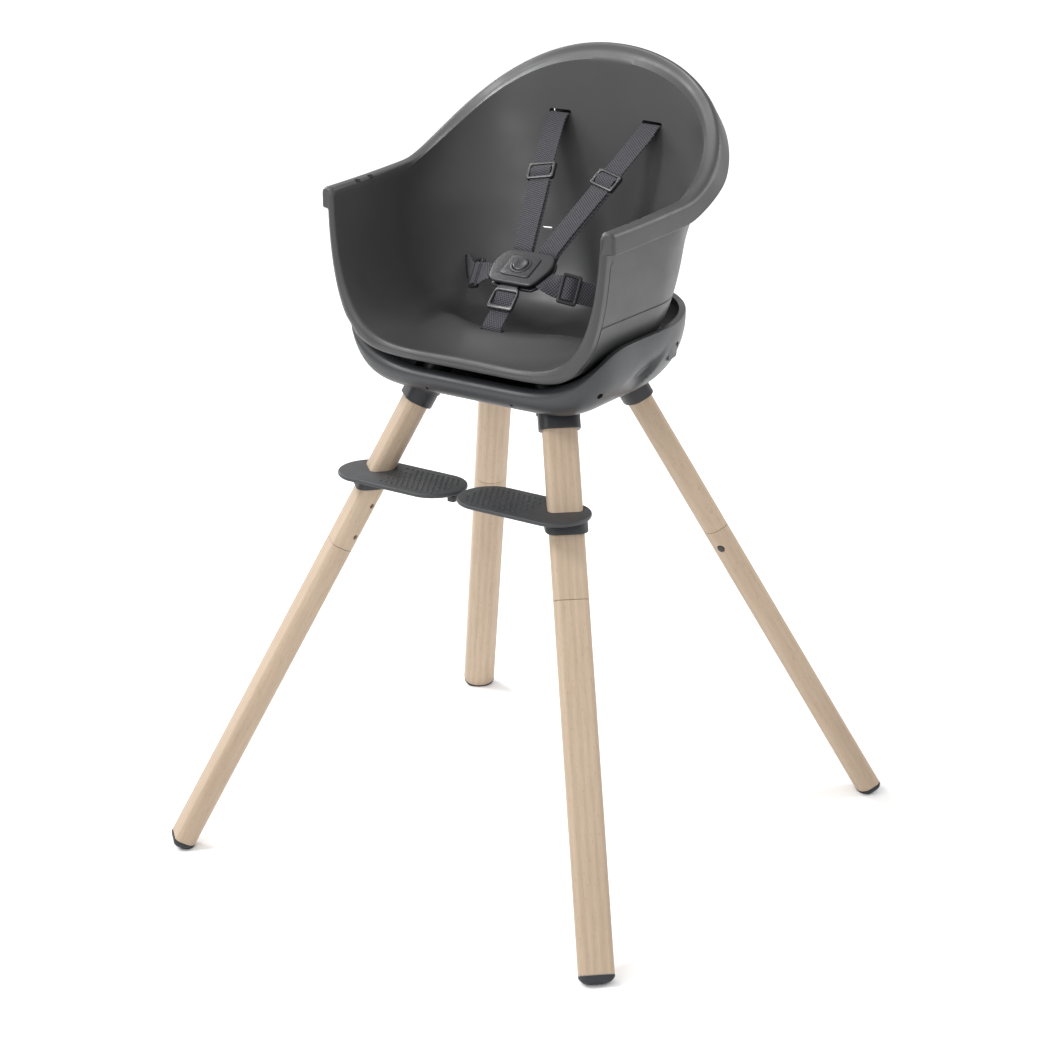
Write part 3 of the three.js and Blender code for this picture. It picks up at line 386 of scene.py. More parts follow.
def loft(rings):
    """Points and faces of a closed skin through equal rings, with a flat cap at each end."""
    n = len(rings[0])
    points = [p for ring in rings for p in ring]
    faces = []
    for r in range(len(rings) - 1):
        for i in range(n):
            j = (i + 1) % n
            faces.append((r * n + i, r * n + j, (r + 1) * n + j, (r + 1) * n + i))
    faces.append(tuple(range(n - 1, -1, -1)))
    faces.append(tuple((len(rings) - 1) * n + i for i in range(n)))
    return points, faces


def evaluated_mesh(obj):
    graph = bpy.context.evaluated_depsgraph_get()
    return bpy.data.meshes.new_from_object(obj.evaluated_get(graph))


def flat_part(name, outline, low, high, bevel, place, material, holes=(), segments=3):
    """A plate from a 2-D outline in mm, with rounded edges, from low to high along the z of place."""
    curve = bpy.data.curves.new(name, "CURVE")
    curve.dimensions = "2D"
    curve.fill_mode = "BOTH"
    for ring in (outline, *holes):
        spline = curve.splines.new("POLY")
        spline.points.add(len(ring) - 1)
        for point, (x, y) in zip(spline.points, ring):
            point.co = (x, y, 0, 1)
        spline.use_cyclic_u = True
    curve.extrude = (high - low) / 2 - bevel
    curve.bevel_depth = bevel
    curve.bevel_resolution = segments
    curve.offset = -bevel
    holder = new_object(name + "_outline", curve)
    bpy.context.view_layer.update()
    mesh = evaluated_mesh(holder)
    bpy.data.objects.remove(holder)
    mesh.transform(Matrix.Scale(MM, 4) @ Matrix.Translation((0, 0, (low + high) / 2)))
    piece = finish_mesh(name, mesh, material, SMOOTH_ANGLE, WELD)
    piece.matrix_world = metric(place)
    return piece


def metric(place):
    """The same frame with its origin in metres."""
    result = place.copy()
    result.translation = place.translation * MM
    return result


def cutter(outline, low, high, place):
    """A sharp-edged solid to cut or clip another piece with."""
    return flat_part("cutter", outline, low, high, NO_BEVEL, place, BASE)


def boolean(piece, tools, operation="DIFFERENCE"):
    """Cuts, joins or clips the piece with the tools, which are used up."""
    for tool in tools:
        modifier = piece.modifiers.new("cut", "BOOLEAN")
        modifier.operation = operation
        modifier.solver = "EXACT"
        modifier.object = tool
    bpy.context.view_layer.update()
    mesh = evaluated_mesh(piece)
    piece.modifiers.clear()
    piece.data = mesh
    for tool in tools:
        bpy.data.objects.remove(tool)
    mesh.set_sharp_from_angle(angle=math.radians(SMOOTH_ANGLE))


def join(pieces):
    """One object from several, in the place of the first."""
    first = pieces[0]
    bm = bmesh.new()
    for piece in pieces:
        mesh = piece.data.copy()
        mesh.transform(first.matrix_world.inverted() @ piece.matrix_world)
        bm.from_mesh(mesh)
        bpy.data.meshes.remove(mesh)
    bm.to_mesh(first.data)
    bm.free()
    shade(first.data)
    for piece in pieces[1:]:
        bpy.data.objects.remove(piece)
    return first


def stands_for(piece, body, slot, *nodes):
    """The piece moves with the body and takes the place of the CAD nodes."""
    bpy.context.view_layer.update()
    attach(piece, body)
    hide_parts(*nodes)


def sided(side, x, y, z):
    """A vector given for the right side (1), or its mirror image for the left (-1)."""
    return Vector((side * x, y, z))


def upright(x, y, z=0):
    """Frame at a point with its axes along the shared ones."""
    return Matrix.Translation((x, y, z))


def upended(x, y, z):
    """Frame at a point with its z towards the front of the chair."""
    return basis(X, Z, -Y, Vector((x, y, z)))


def rounded_rect(half_x, half_y, radius, count=6):
    ring = []
    for cx, cy, start in ((1, 1, 0), (-1, 1, 90), (-1, -1, 180), (1, -1, 270)):
        for k in range(count + 1):
            a = math.radians(start + 90 * k / count)
            x = cx * (half_x - radius) + radius * math.cos(a)
            y = cy * (half_y - radius) + radius * math.sin(a)
            ring.append((x, y))
    return ring


def circle(radius, count=40):
    angles = [2 * math.pi * k / count for k in range(count)]
    return [(radius * math.cos(a), radius * math.sin(a)) for a in angles]


def rounded_corner(before, at, after, radius, share, count):
    """Points that round one corner, using at most the given share of each side."""
    a = at + (before - at).normalized() * min(radius, (before - at).length * share)
    b = at + (after - at).normalized() * min(radius, (after - at).length * share)
    spans = [k / count for k in range(count + 1)]
    return [tuple(a * (1 - t) ** 2 + at * 2 * t * (1 - t) + b * t * t) for t in spans]


def softened(corners, radius, count=4):
    """A closed 2-D outline whose corners are rounded by up to radius."""
    ring = []
    spots = [Vector(c) for c in corners]
    for before, at, after in zip(spots[-1:] + spots, spots, spots[1:] + spots[:1]):
        ring += rounded_corner(before, at, after, radius, 0.45, count)
    return ring


def smooth(x, low, high):
    """0 below low, 1 above high, and a soft step between them."""
    t = min(1.0, max(0.0, (x - low) / (high - low)))
    return t * t * (3 - 2 * t)


def lerp(a, b, t):
    return a + (b - a) * t


def steps(low, high, count):
    """Evenly spaced values from low to high, both included."""
    return [lerp(low, high, k / count) for k in range(count + 1)]


# -------- seat: bucket and under pan
STRAIGHT = 0.36
FLOOR_Z, ARM_Z, TOP_Z, UNDER_Z, SPLIT_Z = 625, 800, 940, 612.5, 687.5
INNER_SPAN, OUTER_SPAN = ARM_Z - FLOOR_Z, ARM_Z - UNDER_Z
INNER_EXPONENT, OUTER_EXPONENT = 0.17, 0.14
RIM_X, RIM_BACK, SKIRT, SKIRT_FLARE, SKIN = 204.5, 195, 26, 7, 3
HUMP, HUMP_Y = 21, -66
BEAD_S = 0.038
EDGE = 4.3
SEAM = 0.25
SEAM_DEPTH = 0.8


def outline_point(s, plan):
    x, front, centre, back, power = plan
    if s < STRAIGHT:
        return x, lerp(front, centre, s / STRAIGHT)
    a = (s - STRAIGHT) / (1 - STRAIGHT) * math.pi / 2
    run = abs(math.cos(a)) ** (2 / power)
    rise = math.sin(a) ** (2 / power)
    return (0.0 if s > 0.9999 else x * run), centre + (back - centre) * rise


def plan_at(z, x, back):
    high = smooth(z, 740, 860)
    front = lerp(-130, -124, (z - FLOOR_Z) / (ARM_Z - FLOOR_Z))
    return x, front, 30 * high, back, 2.05 + 0.9 * high


def corner_share(z, floor_z, span, exponent):
    h = min(1.0, max(0.0, (z - floor_z) / span))
    return (1 - (1 - h) ** 2) ** exponent


def corner_height(share, span, exponent):
    return span * (1 - math.sqrt(max(0.0, 1 - share ** (1 / exponent))))


def back_reach(z):
    return 169 + 0.14 * (z - 855) - 0.00042 * max(0, 855 - z) ** 2


def inner_plan(z, offset=0.0):
    share = corner_share(z + offset, FLOOR_Z, INNER_SPAN, INNER_EXPONENT)
    width = 187 + 0.03 * max(0, z - ARM_Z)
    return plan_at(z, width * share + offset, back_reach(z) * share + offset)


def outer_plan(z, offset=0.0):
    share = corner_share(z, UNDER_Z - offset, OUTER_SPAN, OUTER_EXPONENT)
    return plan_at(z, 196 * share + offset, (back_reach(z) + 10) * share + offset)


def rim_height(s, rise):
    if s <= STRAIGHT:
        return ARM_Z + 4 * (s / STRAIGHT) ** 2
    a = (s - STRAIGHT) / (1 - STRAIGHT) * math.pi / 2
    return ARM_Z + 4 + (rise - 4) * (1 - abs(math.cos(a)) ** 1.43) ** 0.57


def floor_hump(x, y):
    ridge = HUMP_Y + 0.0035 * x * x
    fall = 36 if y < ridge else 30
    across = 1 - smooth(abs(x), 70, 150)
    return HUMP * across * math.exp(-((y - ridge) / fall) ** 2)


FLOOR_SHARES = steps(0, 0.5, 9) + steps(0.53, 0.79, 15)


def floor_points(s, plan, floor_z, span, exponent, offset, hump):
    full = plan(floor_z + span * 0.12, offset)
    x, y = outline_point(s, full)
    whole = corner_share(floor_z + span * 0.12, floor_z, span, exponent)
    centre = y if s < STRAIGHT else outline_point(STRAIGHT, full)[1]
    points = []
    for share in FLOOR_SHARES:
        px = x * share / whole
        py = centre + (y - centre) * share / whole
        z = floor_z + corner_height(share, span, exponent)
        points.append((px, py, z + (floor_hump(px, py) if hump else 0)))
    return points


def inner_floor(s, offset):
    return floor_points(s, inner_plan, FLOOR_Z - offset, INNER_SPAN, INNER_EXPONENT, offset, True)


def outer_floor(s, offset):
    return floor_points(s, outer_plan, UNDER_Z - offset, OUTER_SPAN + offset, OUTER_EXPONENT, offset, False)


def wall_points(s, plan, levels, offset=0.0):
    return [(*outline_point(s, plan(z, offset)), z) for z in levels]


def rim_point(s, x, back, z):
    return (*outline_point(s, (x, -122, 30, back, 2.8)), z)


def soft_path(corners, radii, count=5):
    """An open 3-D path whose inner corners are rounded."""
    spots = [Vector(c) for c in corners]
    path = [tuple(spots[0])]
    for before, at, after, radius in zip(spots, spots[1:], spots[2:], radii[1:]):
        path += rounded_corner(before, at, after, radius, 0.48, count)
    return path + [tuple(spots[-1])]


def wall_levels(low, high, count):
    """Levels that crowd together near the floor, where the wall turns."""
    return [low + (high - low) * (k / count) ** 1.35 for k in range(count + 1)]


def rim_path(s, edge):
    ridge = rim_height(s, TOP_Z - ARM_Z)
    lip = rim_height(s, TOP_Z - ARM_Z - 11)
    flare = SKIRT_FLARE * smooth(s, STRAIGHT, STRAIGHT + 0.16)
    foot = ridge - SKIRT
    top = wall_points(s, inner_plan, [lip - 9], edge)[0]
    corners = [
        top,
        rim_point(s, 188.6 + edge, RIM_BACK - 9.4, lip - 0.6 - edge * 0.6),
        rim_point(s, 200.5, RIM_BACK - 4, ridge - edge * 0.6),
        rim_point(s, RIM_X + 0.2 - edge * 0.5, RIM_BACK + 0.5, ridge - 4 - edge * 0.3),
        rim_point(s, RIM_X + 0.5 + flare - edge * 0.6, RIM_BACK + 2 * flare, foot + edge * 0.4),
        wall_points(s, outer_plan, [foot + edge * 0.4], -edge)[0],
        wall_points(s, outer_plan, [foot - 8], -edge)[0],
    ]
    return soft_path(corners, [0, 4.5, 5, 4, 2.2, 2.5, 0], 6), lip, foot


def bucket_section(s, edge=0.0, seam=0.0, full=False):
    """Section of the bucket from the middle of the seat to the middle of its underside."""
    rim, lip, foot = rim_path(s, edge)
    inside = inner_floor(s, edge)
    inside += wall_points(s, inner_plan, wall_levels(650, lip - 13, 34), edge)
    cut = edge + seam
    if full:
        outside = wall_points(s, outer_plan, list(reversed(wall_levels(650, foot - 12, 22))), -cut)
        return inside + rim + outside + outer_floor(s, -cut)[::-1]
    low = SPLIT_Z + SEAM
    outside = wall_points(s, outer_plan, steps(foot - 12, low + SEAM_DEPTH, 20), -cut)
    outside += wall_points(s, outer_plan, [low], -cut - SEAM_DEPTH) + wall_points(s, outer_plan, [low], -7)
    behind = wall_points(s, inner_plan, [low, 675, 664, 657, 650], SKIN)
    return inside + rim + outside + behind + inner_floor(s, SKIN)[::-1]


def pan_section(s, seam=0.0):
    high = SPLIT_Z - SEAM
    levels = steps(650, high - SEAM_DEPTH, 10)
    inner = outer_floor(s, -SKIN)
    inner += wall_points(s, outer_plan, levels + [high], -SKIN)
    outer = wall_points(s, outer_plan, [high], -SEAM_DEPTH - seam)
    outer += wall_points(s, outer_plan, levels[::-1], -seam)
    return inner + outer + outer_floor(s, -seam)[::-1]


def mirrored_skin(sections):
    """Closed skin from sections of the right half, first one at the front, last one on the middle plane."""
    left = [[(-x, y, z) for x, y, z in section] for section in sections]
    rows = left + sections[::-1][1:]
    m = len(rows[0])
    points = [p for row in rows for p in row]
    faces = grid_faces(len(rows), m)
    last = (len(rows) - 1) * m
    faces.append(tuple(list(range(m)) + [last + i for i in range(m - 2, 0, -1)]))
    return points, faces


def open_mirrored(sections):
    """Skin of the front bead: both ends are flat caps across the whole width."""
    left = [[(-x, y, z) for x, y, z in section] for section in sections]
    m = len(sections[0])
    points, faces = [], []
    for half, turn in ((left, False), (sections, True)):
        quads = grid_faces(len(half), m, len(points))
        faces += [quad[::-1] for quad in quads] if turn else quads
        points += [p for row in half for p in row]
    other = len(sections) * m
    for row in (0, len(sections) - 1):
        a, b = row * m, other + row * m
        faces.append(tuple([a + i for i in range(m)] + [b + i for i in range(m - 2, 0, -1)]))
    return points, faces


SHOULDER_SLOT, LOWER_SLOT = (66, 853), (66, 717)
WAIST_SLOT, CROTCH_SLOT = (134.1, 67, 672), (0, -68, FLOOR_Z + HUMP)
SLOT_HALF, LOWER_SLOT_HALF, CROTCH_SLOT_HALF = (15, 3), (12.5, 2), (16, 3)
NOTCH_X, NOTCH_YS = 186, (-72, -48)


def slot_tool(half, low, high, place):
    """Cutter for a slot with round ends, from its half length and half height."""
    return cutter(rounded_rect(*half, half[1] - 0.1, 4), low, high, place)


def waist_frame(side):
    normal = sided(side, 0.622, 0.638, -0.454).normalized()
    up = (Z - normal * normal.z).normalized()
    return basis(up, normal.cross(up), normal, sided(side, *WAIST_SLOT))


def make_seat():
    edge_s = EDGE * STRAIGHT / 130
    bead = []
    for t in (0.0, 0.06, 0.16, 0.3, 0.48, 0.72, 1.0):
        bead.append(bucket_section(t * edge_s, EDGE * (1 - math.sin(t * math.pi / 2)), full=True))
    bead += [bucket_section(s, full=True) for s in steps(edge_s, BEAD_S - 0.003, 4)[1:]]
    bead.append(bucket_section(BEAD_S, seam=SEAM_DEPTH, full=True))
    bead_piece = mesh_piece("bucket_bead", *open_mirrored(bead), SHELL)
    stations = steps(BEAD_S + 0.003, STRAIGHT, 18) + steps(STRAIGHT, 1, 84)[1:]
    rest = [bucket_section(BEAD_S, seam=SEAM_DEPTH)] + [bucket_section(s) for s in stations]
    body = mesh_piece("bucket", *mirrored_skin(rest), SHELL)

    tools = []
    for _, side in SIDES:
        for (x, z), half, depth in ((SHOULDER_SLOT, SLOT_HALF, 24), (LOWER_SLOT, LOWER_SLOT_HALF, 5)):
            tools.append(slot_tool(half, -depth, 14, upended(side * x, back_reach(z), z)))
        tools.append(slot_tool(SLOT_HALF, -8, 6, waist_frame(side)))
        for y in NOTCH_YS:
            tools.append(cutter(rounded_rect(7, 4, 1.2, 3), -5, 7, upright(side * NOTCH_X, y, ARM_Z + 1)))
    tools.append(slot_tool(CROTCH_SLOT_HALF, -14, 12, upright(*CROTCH_SLOT)))
    boolean(body, tools)
    bucket = join([body, bead_piece])
    stands_for(bucket, "seat", "shell_plastic", "seat_shell")

    pan = [pan_section(BEAD_S + 0.0015, SEAM_DEPTH)] + [pan_section(s) for s in stations]
    stands_for(mesh_piece("under_pan", *mirrored_skin(pan), SHELL), "seat", "shell_plastic", "seat_under_pan")


make_seat()


# -------- legs
FOOT_REACH, LEAN_X, LEAN_Y = 307.3, 0.375, 0.4155
ALONG = math.hypot(LEAN_X, LEAN_Y, 1)
HALF_WIDTH, HALF_DEPTH, CORNER = 20.3, 14.6, 7
SEAM_S, FOOT_S, TOP_S, COLLAR_S = 373.6 * ALONG, 9 * ALONG, 596 * ALONG, 545.7 * ALONG
BUTTON_DROP, HOLE_FIRST, HOLE_STEP = 24, 19, 43
SEAM_GAP, WOOD_EDGE = 0.2, 0.7
SNAP_BORE_R, SNAP_R, PIN_BORE_R = 5.0, 4.5, 3.3
COLLAR_WALL, COLLAR_FIT, SOCKET_FIT = 4.0, 0.35, 4.4


def leg_frame(sx, sy):
    up = Vector((-sx * LEAN_X, -sy * LEAN_Y, 1)).normalized()
    out = Vector((sx * LEAN_X, sy * LEAN_Y, 0)).normalized()
    out = (out - up * out.dot(up)).normalized()
    return basis(out.cross(up), out, up, Vector((sx * FOOT_REACH, sy * FOOT_REACH, 0)))


def leg_section(grow=0.0, count=7):
    """Round inner face, flatter outer face with two soft edges."""
    a, b, r = HALF_WIDTH + grow, HALF_DEPTH + grow, CORNER + grow
    ring = []
    for cx, start in ((1, 0), (-1, 90)):
        for k in range(count + 1):
            t = math.radians(start + 90 * k / count)
            ring.append((cx * (a - r) + r * math.cos(t), b - r + r * math.sin(t)))
    for k in range(3 * count + 1):
        t = math.pi + math.pi * k / (3 * count)
        ring.append((a * math.cos(t), b * math.sin(t)))
    return ring


def cross_frame(sx, sy, s, direction):
    leg = leg_frame(sx, sy)
    across, out, up = (leg.col[i].to_3d() for i in range(3))
    a, b = direction.dot(across) * HALF_WIDTH, direction.dot(out) * HALF_DEPTH
    size = math.hypot(a, b)
    point = leg @ Vector((a / size * HALF_WIDTH, b / size * HALF_DEPTH, s))
    axis = (direction - up * direction.dot(up)).normalized()
    return basis(up.cross(axis), up, axis, point)


def pin_hole(sx, sy, k):
    """Place of the k-th footplate hole on the inner side of an upper leg."""
    return cross_frame(sx, sy, SEAM_S + HOLE_FIRST + k * HOLE_STEP, Vector((-sx, 0, 0)))


def make_leg(place, sx, sy):
    at = leg_frame(sx, sy)
    snap = cross_frame(sx, sy, SEAM_S - BUTTON_DROP, Vector((0, -sy, 0)))
    lower_name, upper_name = "lower_leg_wood_" + place, "upper_leg_wood_" + place
    lower = flat_part(lower_name, leg_section(), FOOT_S, SEAM_S - SEAM_GAP, WOOD_EDGE, at, BEECH)
    boolean(lower, [cutter(circle(SNAP_BORE_R, 28), -12, 6, snap)])
    upper = flat_part(upper_name, leg_section(), SEAM_S + SEAM_GAP, TOP_S, WOOD_EDGE, at, BEECH)
    if sy < 0:
        boolean(upper, [cutter(circle(PIN_BORE_R, 28), -8, 6, pin_hole(sx, sy, k)) for k in range(3)])
    stands_for(lower, "chair_frame", "beech", "lower_leg_" + place)
    stands_for(upper, "chair_frame", "beech", "upper_leg_" + place)

    button = flat_part("snap_button_" + place, circle(SNAP_R), -13, 0.5, 0.9, snap, BUTTON)
    stands_for(button, "snap_button_" + place, "button_plastic", "leg_button_" + place)

    wall = flat_part("collar_" + place, leg_section(COLLAR_WALL), COLLAR_S, TOP_S - 2, 1.0, at, COLLAR)
    boolean(wall, [cutter(leg_section(COLLAR_FIT), COLLAR_S - 4, TOP_S + 4, at)])
    stands_for(wall, "chair_frame", "collar_plastic", "leg_collar_" + place)
    stands_for(make_foot(place, at), "chair_frame", "foot_rubber", "foot_cap_" + place)


FOOT_DOME = (
    (0, 0.985), (0, 1.0), (1.2, 1.006), (2.6, 0.99), (4.2, 0.95),
    (5.8, 0.885), (7.3, 0.79), (8.6, 0.66), (9.6, 0.48), (10.1, 0.25),
)


def make_foot(place, at):
    """Rubber foot: a dome square to the leg, pressed flat where it stands on the floor."""
    rings = []
    for depth, scale in FOOT_DOME:
        ring = [at @ Vector((x * scale, y * scale, FOOT_S - 0.3 - depth)) for x, y in leg_section()]
        rings.append([(p.x, p.y, max(0.0, p.z)) for p in ring])
    return mesh_piece("rubber_foot_" + place, *loft(rings), RUBBER, 50)


for corner in CORNERS:
    make_leg(*corner)


# -------- booster base
BASE_HALF_WIDTH, BASE_FRONT, BASE_BACK = 187, 130, 170
BASE_BOTTOM_Z, BASE_FRONT_RIM_Z, BASE_RIM_Z, BASE_WALL = 567, 589, 656, 4.5
DECK_BOTTOM_Z, DECK_TOP_Z = 600, 611.7
RELEASE = (177.8, 43, 622)
SIDE_HOLE, SIDE_HOLE_R = (168.7, -96.4, 603.7), 3.9
FRONT_HOLE, FRONT_HOLE_R = (60.5, -114.8, 577.3), 2.2
SOCKET_LOW, SOCKET_HIGH, SOCKET_WALL, SOCKET_FLARE = 562.2, 575.7, 5.4, 15


def base_share(z, exponent):
    return corner_share(z, BASE_BOTTOM_Z, BASE_RIM_Z - BASE_BOTTOM_Z, exponent)


def finger_dip(y, z):
    """Depth of the finger recess in front of each release button."""
    edge = 3 + (z - 614) * 0.9
    along = smooth(y, edge - 58, edge - 8) * (1 - smooth(y, edge - 6, edge + 4))
    return 7.5 * along * math.exp(-((z - 610) / 15) ** 2)


def base_point(angle, z, inset, dipped=False):
    c, s = math.cos(angle), math.sin(angle)
    power = 2 / 7 if s < 0 else 2 / 2.2
    x = (BASE_HALF_WIDTH * base_share(z, 0.17 + 0.045 * s) - inset) * math.copysign(abs(c) ** power, c)
    reach = -(BASE_FRONT * base_share(z, 0.08) - inset) if s < 0 else BASE_BACK * base_share(z, 0.2) - inset
    y = reach * abs(s) ** power
    if dipped:
        x -= math.copysign(finger_dip(y, z), x) if abs(x) > 60 else 0
    return x, y, z


def base_rim_z(angle):
    s = math.sin(angle)
    if s >= 0:
        return BASE_RIM_Z + 5 * s
    reach = abs(math.cos(angle)) ** (2 / 7)
    return BASE_FRONT_RIM_Z + (BASE_RIM_Z - BASE_FRONT_RIM_Z) * reach ** 6.5


BASE_STEPS = [0.0008, 0.003, 0.008, 0.016, 0.03, 0.055, 0.09] + steps(0.13, 0.94, 16)


def base_column(angle):
    rim = base_rim_z(angle)
    outer = [base_point(angle, lerp(BASE_BOTTOM_Z, rim, t), 0, True) for t in BASE_STEPS]
    inner = []
    for t in BASE_STEPS:
        x, y, _ = base_point(angle, lerp(BASE_BOTTOM_Z, rim, t), BASE_WALL)
        inner.append((x, y, lerp(BASE_BOTTOM_Z + BASE_WALL, rim, t)))
    front = 1 - smooth(rim, BASE_FRONT_RIM_Z + 4, BASE_FRONT_RIM_Z + 55)
    round_back = 3.5 * (1 - front)
    roll = [
        (0.15, 0.6 + 2.5 * front), (1.2 + 1.8 * front, 1.1 + 6 * front), (2.2 + 5 * front, 1.2 + 8.6 * front),
        (4.2 + round_back + 9 * front, 1.0 + 9.4 * front), (4.7 + round_back + 13 * front, 0.2 + 7.6 * front),
        (4.6 + round_back + 10 * front, -2.5 + 3.5 * front),
    ]
    lip = soft_path(
        [outer[-1], *((*base_point(angle, rim, inset)[:2], rim + rise) for inset, rise in roll), inner[-2]],
        [0, 1.5, 2, 2, 2, 1.5, 1, 0], 3,
    )
    inner = inner[:-1]
    x, y, _ = outer[0]
    xi, yi, _ = inner[0]
    bottom = [(x * k, y * k, BASE_BOTTOM_Z) for k in (0.0, 0.3, 0.6, 0.85)]
    floor = [(xi * k, yi * k, BASE_BOTTOM_Z + BASE_WALL) for k in (0.85, 0.6, 0.3, 0.0)]
    return bottom + outer + lip[1:-1] + inner[::-1] + floor


def facing(sx, spot, normal):
    """Frame on the right or left side of the base, with its z along the normal."""
    normal = sided(sx, *normal).normalized()
    side = Z.cross(normal).normalized()
    return basis(side, normal.cross(side), normal, sided(sx, *spot))


def release_frame(sx):
    return facing(sx, RELEASE, (0.976, 0.219, 0))


def base_angles():
    """Angles of the columns: the front corners turn fast, so they get more."""
    angles = [2 * math.pi * k / 200 for k in range(200)]
    for k in range(1, 61):
        turn = (k * 1.8 / BASE_FRONT) ** 3.5
        angles += [-turn, math.pi + turn]
    for k in range(1, 9):
        angles += [0.011 * k, math.pi - 0.011 * k]
    return sorted(set(round(a % (2 * math.pi), 6) for a in angles))


def socket_flare(at):
    """Flared wall round a leg, lifted into the bottom of the bowl where it would stick out below."""
    axis = at.col[2].to_3d()
    rings = []
    for k in range(11):
        t = k / 10
        s = lerp(SOCKET_LOW, SOCKET_HIGH, t) * ALONG
        ring = [at @ Vector((x, y, s)) for x, y in leg_section(SOCKET_WALL + SOCKET_FLARE * t ** 3.2)]
        lift = smooth(t, 0.35, 1)
        rings.append([tuple(p + axis * (lift * max(0.0, BASE_BOTTOM_Z + 3 - p.z) * ALONG)) for p in ring])
    return mesh_piece("boss", *loft(rings), BASE)


def make_base():
    columns = [base_column(a) for a in base_angles()]
    points = [p for column in columns for p in column]
    faces = grid_faces(len(columns), len(columns[0]), around=True)
    bowl = mesh_piece("bowl", points, faces, BASE, merge=0.03)
    bosses, tools = [], []
    for _, sx, sy in CORNERS:
        at = leg_frame(sx, sy)
        bosses.append(socket_flare(at))
        tools.append(cutter(leg_section(SOCKET_FIT), COLLAR_S, TOP_S + 34, at))
    for _, sx in SIDES:
        side_hole = facing(sx, SIDE_HOLE, (0.86, -0.32, -0.4))
        front_hole = facing(sx, FRONT_HOLE, (0, -0.83, -0.56))
        tools.append(cutter(rounded_rect(14.6, 9.6, 5.4), -14, 14, release_frame(sx)))
        tools.append(cutter(circle(SIDE_HOLE_R), -9, 12, side_hole))
        tools.append(cutter(circle(FRONT_HOLE_R, 20), -6, 8, front_hole))
    boolean(bowl, bosses, "UNION")
    boolean(bowl, tools)
    stands_for(bowl, "chair_frame", "base_plastic", "base_bowl")

    outline = rounded_rect(118, 92, 55, 12)
    deck = flat_part("deck", outline, DECK_BOTTOM_Z, DECK_TOP_Z, 1.5, upright(0, 0), COLLAR)
    bores = [cutter(leg_section(SOCKET_FIT), COLLAR_S, TOP_S + 6, leg_frame(sx, sy)) for _, sx, sy in CORNERS]
    boolean(deck, bores)
    stands_for(deck, "chair_frame", "collar_plastic", "base_deck")
    for side, sx in SIDES:
        button = flat_part("release_" + side, rounded_rect(14, 9, 5), -9, -0.9, 0.8, release_frame(sx), BASE)
        stands_for(button, "seat_release_" + side, "button_plastic", "release_button_" + side)


make_base()


# -------- footplates
PLATE_Z, PLATE_THICK, PLATE_HALF_DEPTH, PLATE_Y = 468, 5, 39, -131
PLATE_INNER_X, PLATE_OUTER_X = 1.5, 174
DOT_PITCH_X, DOT_PITCH_Y, DOT_RADIUS, DOT_HEIGHT = 7.5, 6.5, 2.0, 1.1
LEG_FIT, CLAMP_WALL, CLAMP_HEIGHT, HOUSING_HEIGHT = 0.8, 4.5, 16, 14
LATCH_INNER_X, LATCH_DROP, LATCH_HALF_HEIGHT, TAB_HALF_HEIGHT, NOSE_R = 9, 7, 2.7, 3.6, 2.4


def leg_tool(sx, z, reach):
    """Cutter a little larger than the front leg, for reach mm above and below z."""
    return cutter(leg_section(LEG_FIT), (z - reach) * ALONG, (z + reach) * ALONG, leg_frame(sx, -1))


def grip_dots(name, centres, z):
    """Small raised domes in one mesh."""
    points, faces = [], []
    sides = 10
    for cx, cy in centres:
        start = len(points)
        for r, h in ((1.0, 0.0), (0.82, 0.6), (0.45, 0.92)):
            points += [(cx + x, cy + y, z + DOT_HEIGHT * h) for x, y in circle(DOT_RADIUS * r, sides)]
        points.append((cx, cy, z + DOT_HEIGHT))
        for row in range(2):
            for k in range(sides):
                a, b = start + row * sides + k, start + row * sides + (k + 1) % sides
                faces.append((a, b, b + sides, a + sides))
        for k in range(sides):
            faces.append((start + 2 * sides + k, start + 2 * sides + (k + 1) % sides, start + 3 * sides))
    return mesh_piece(name, points, faces, PLATE, 60, 0.001)


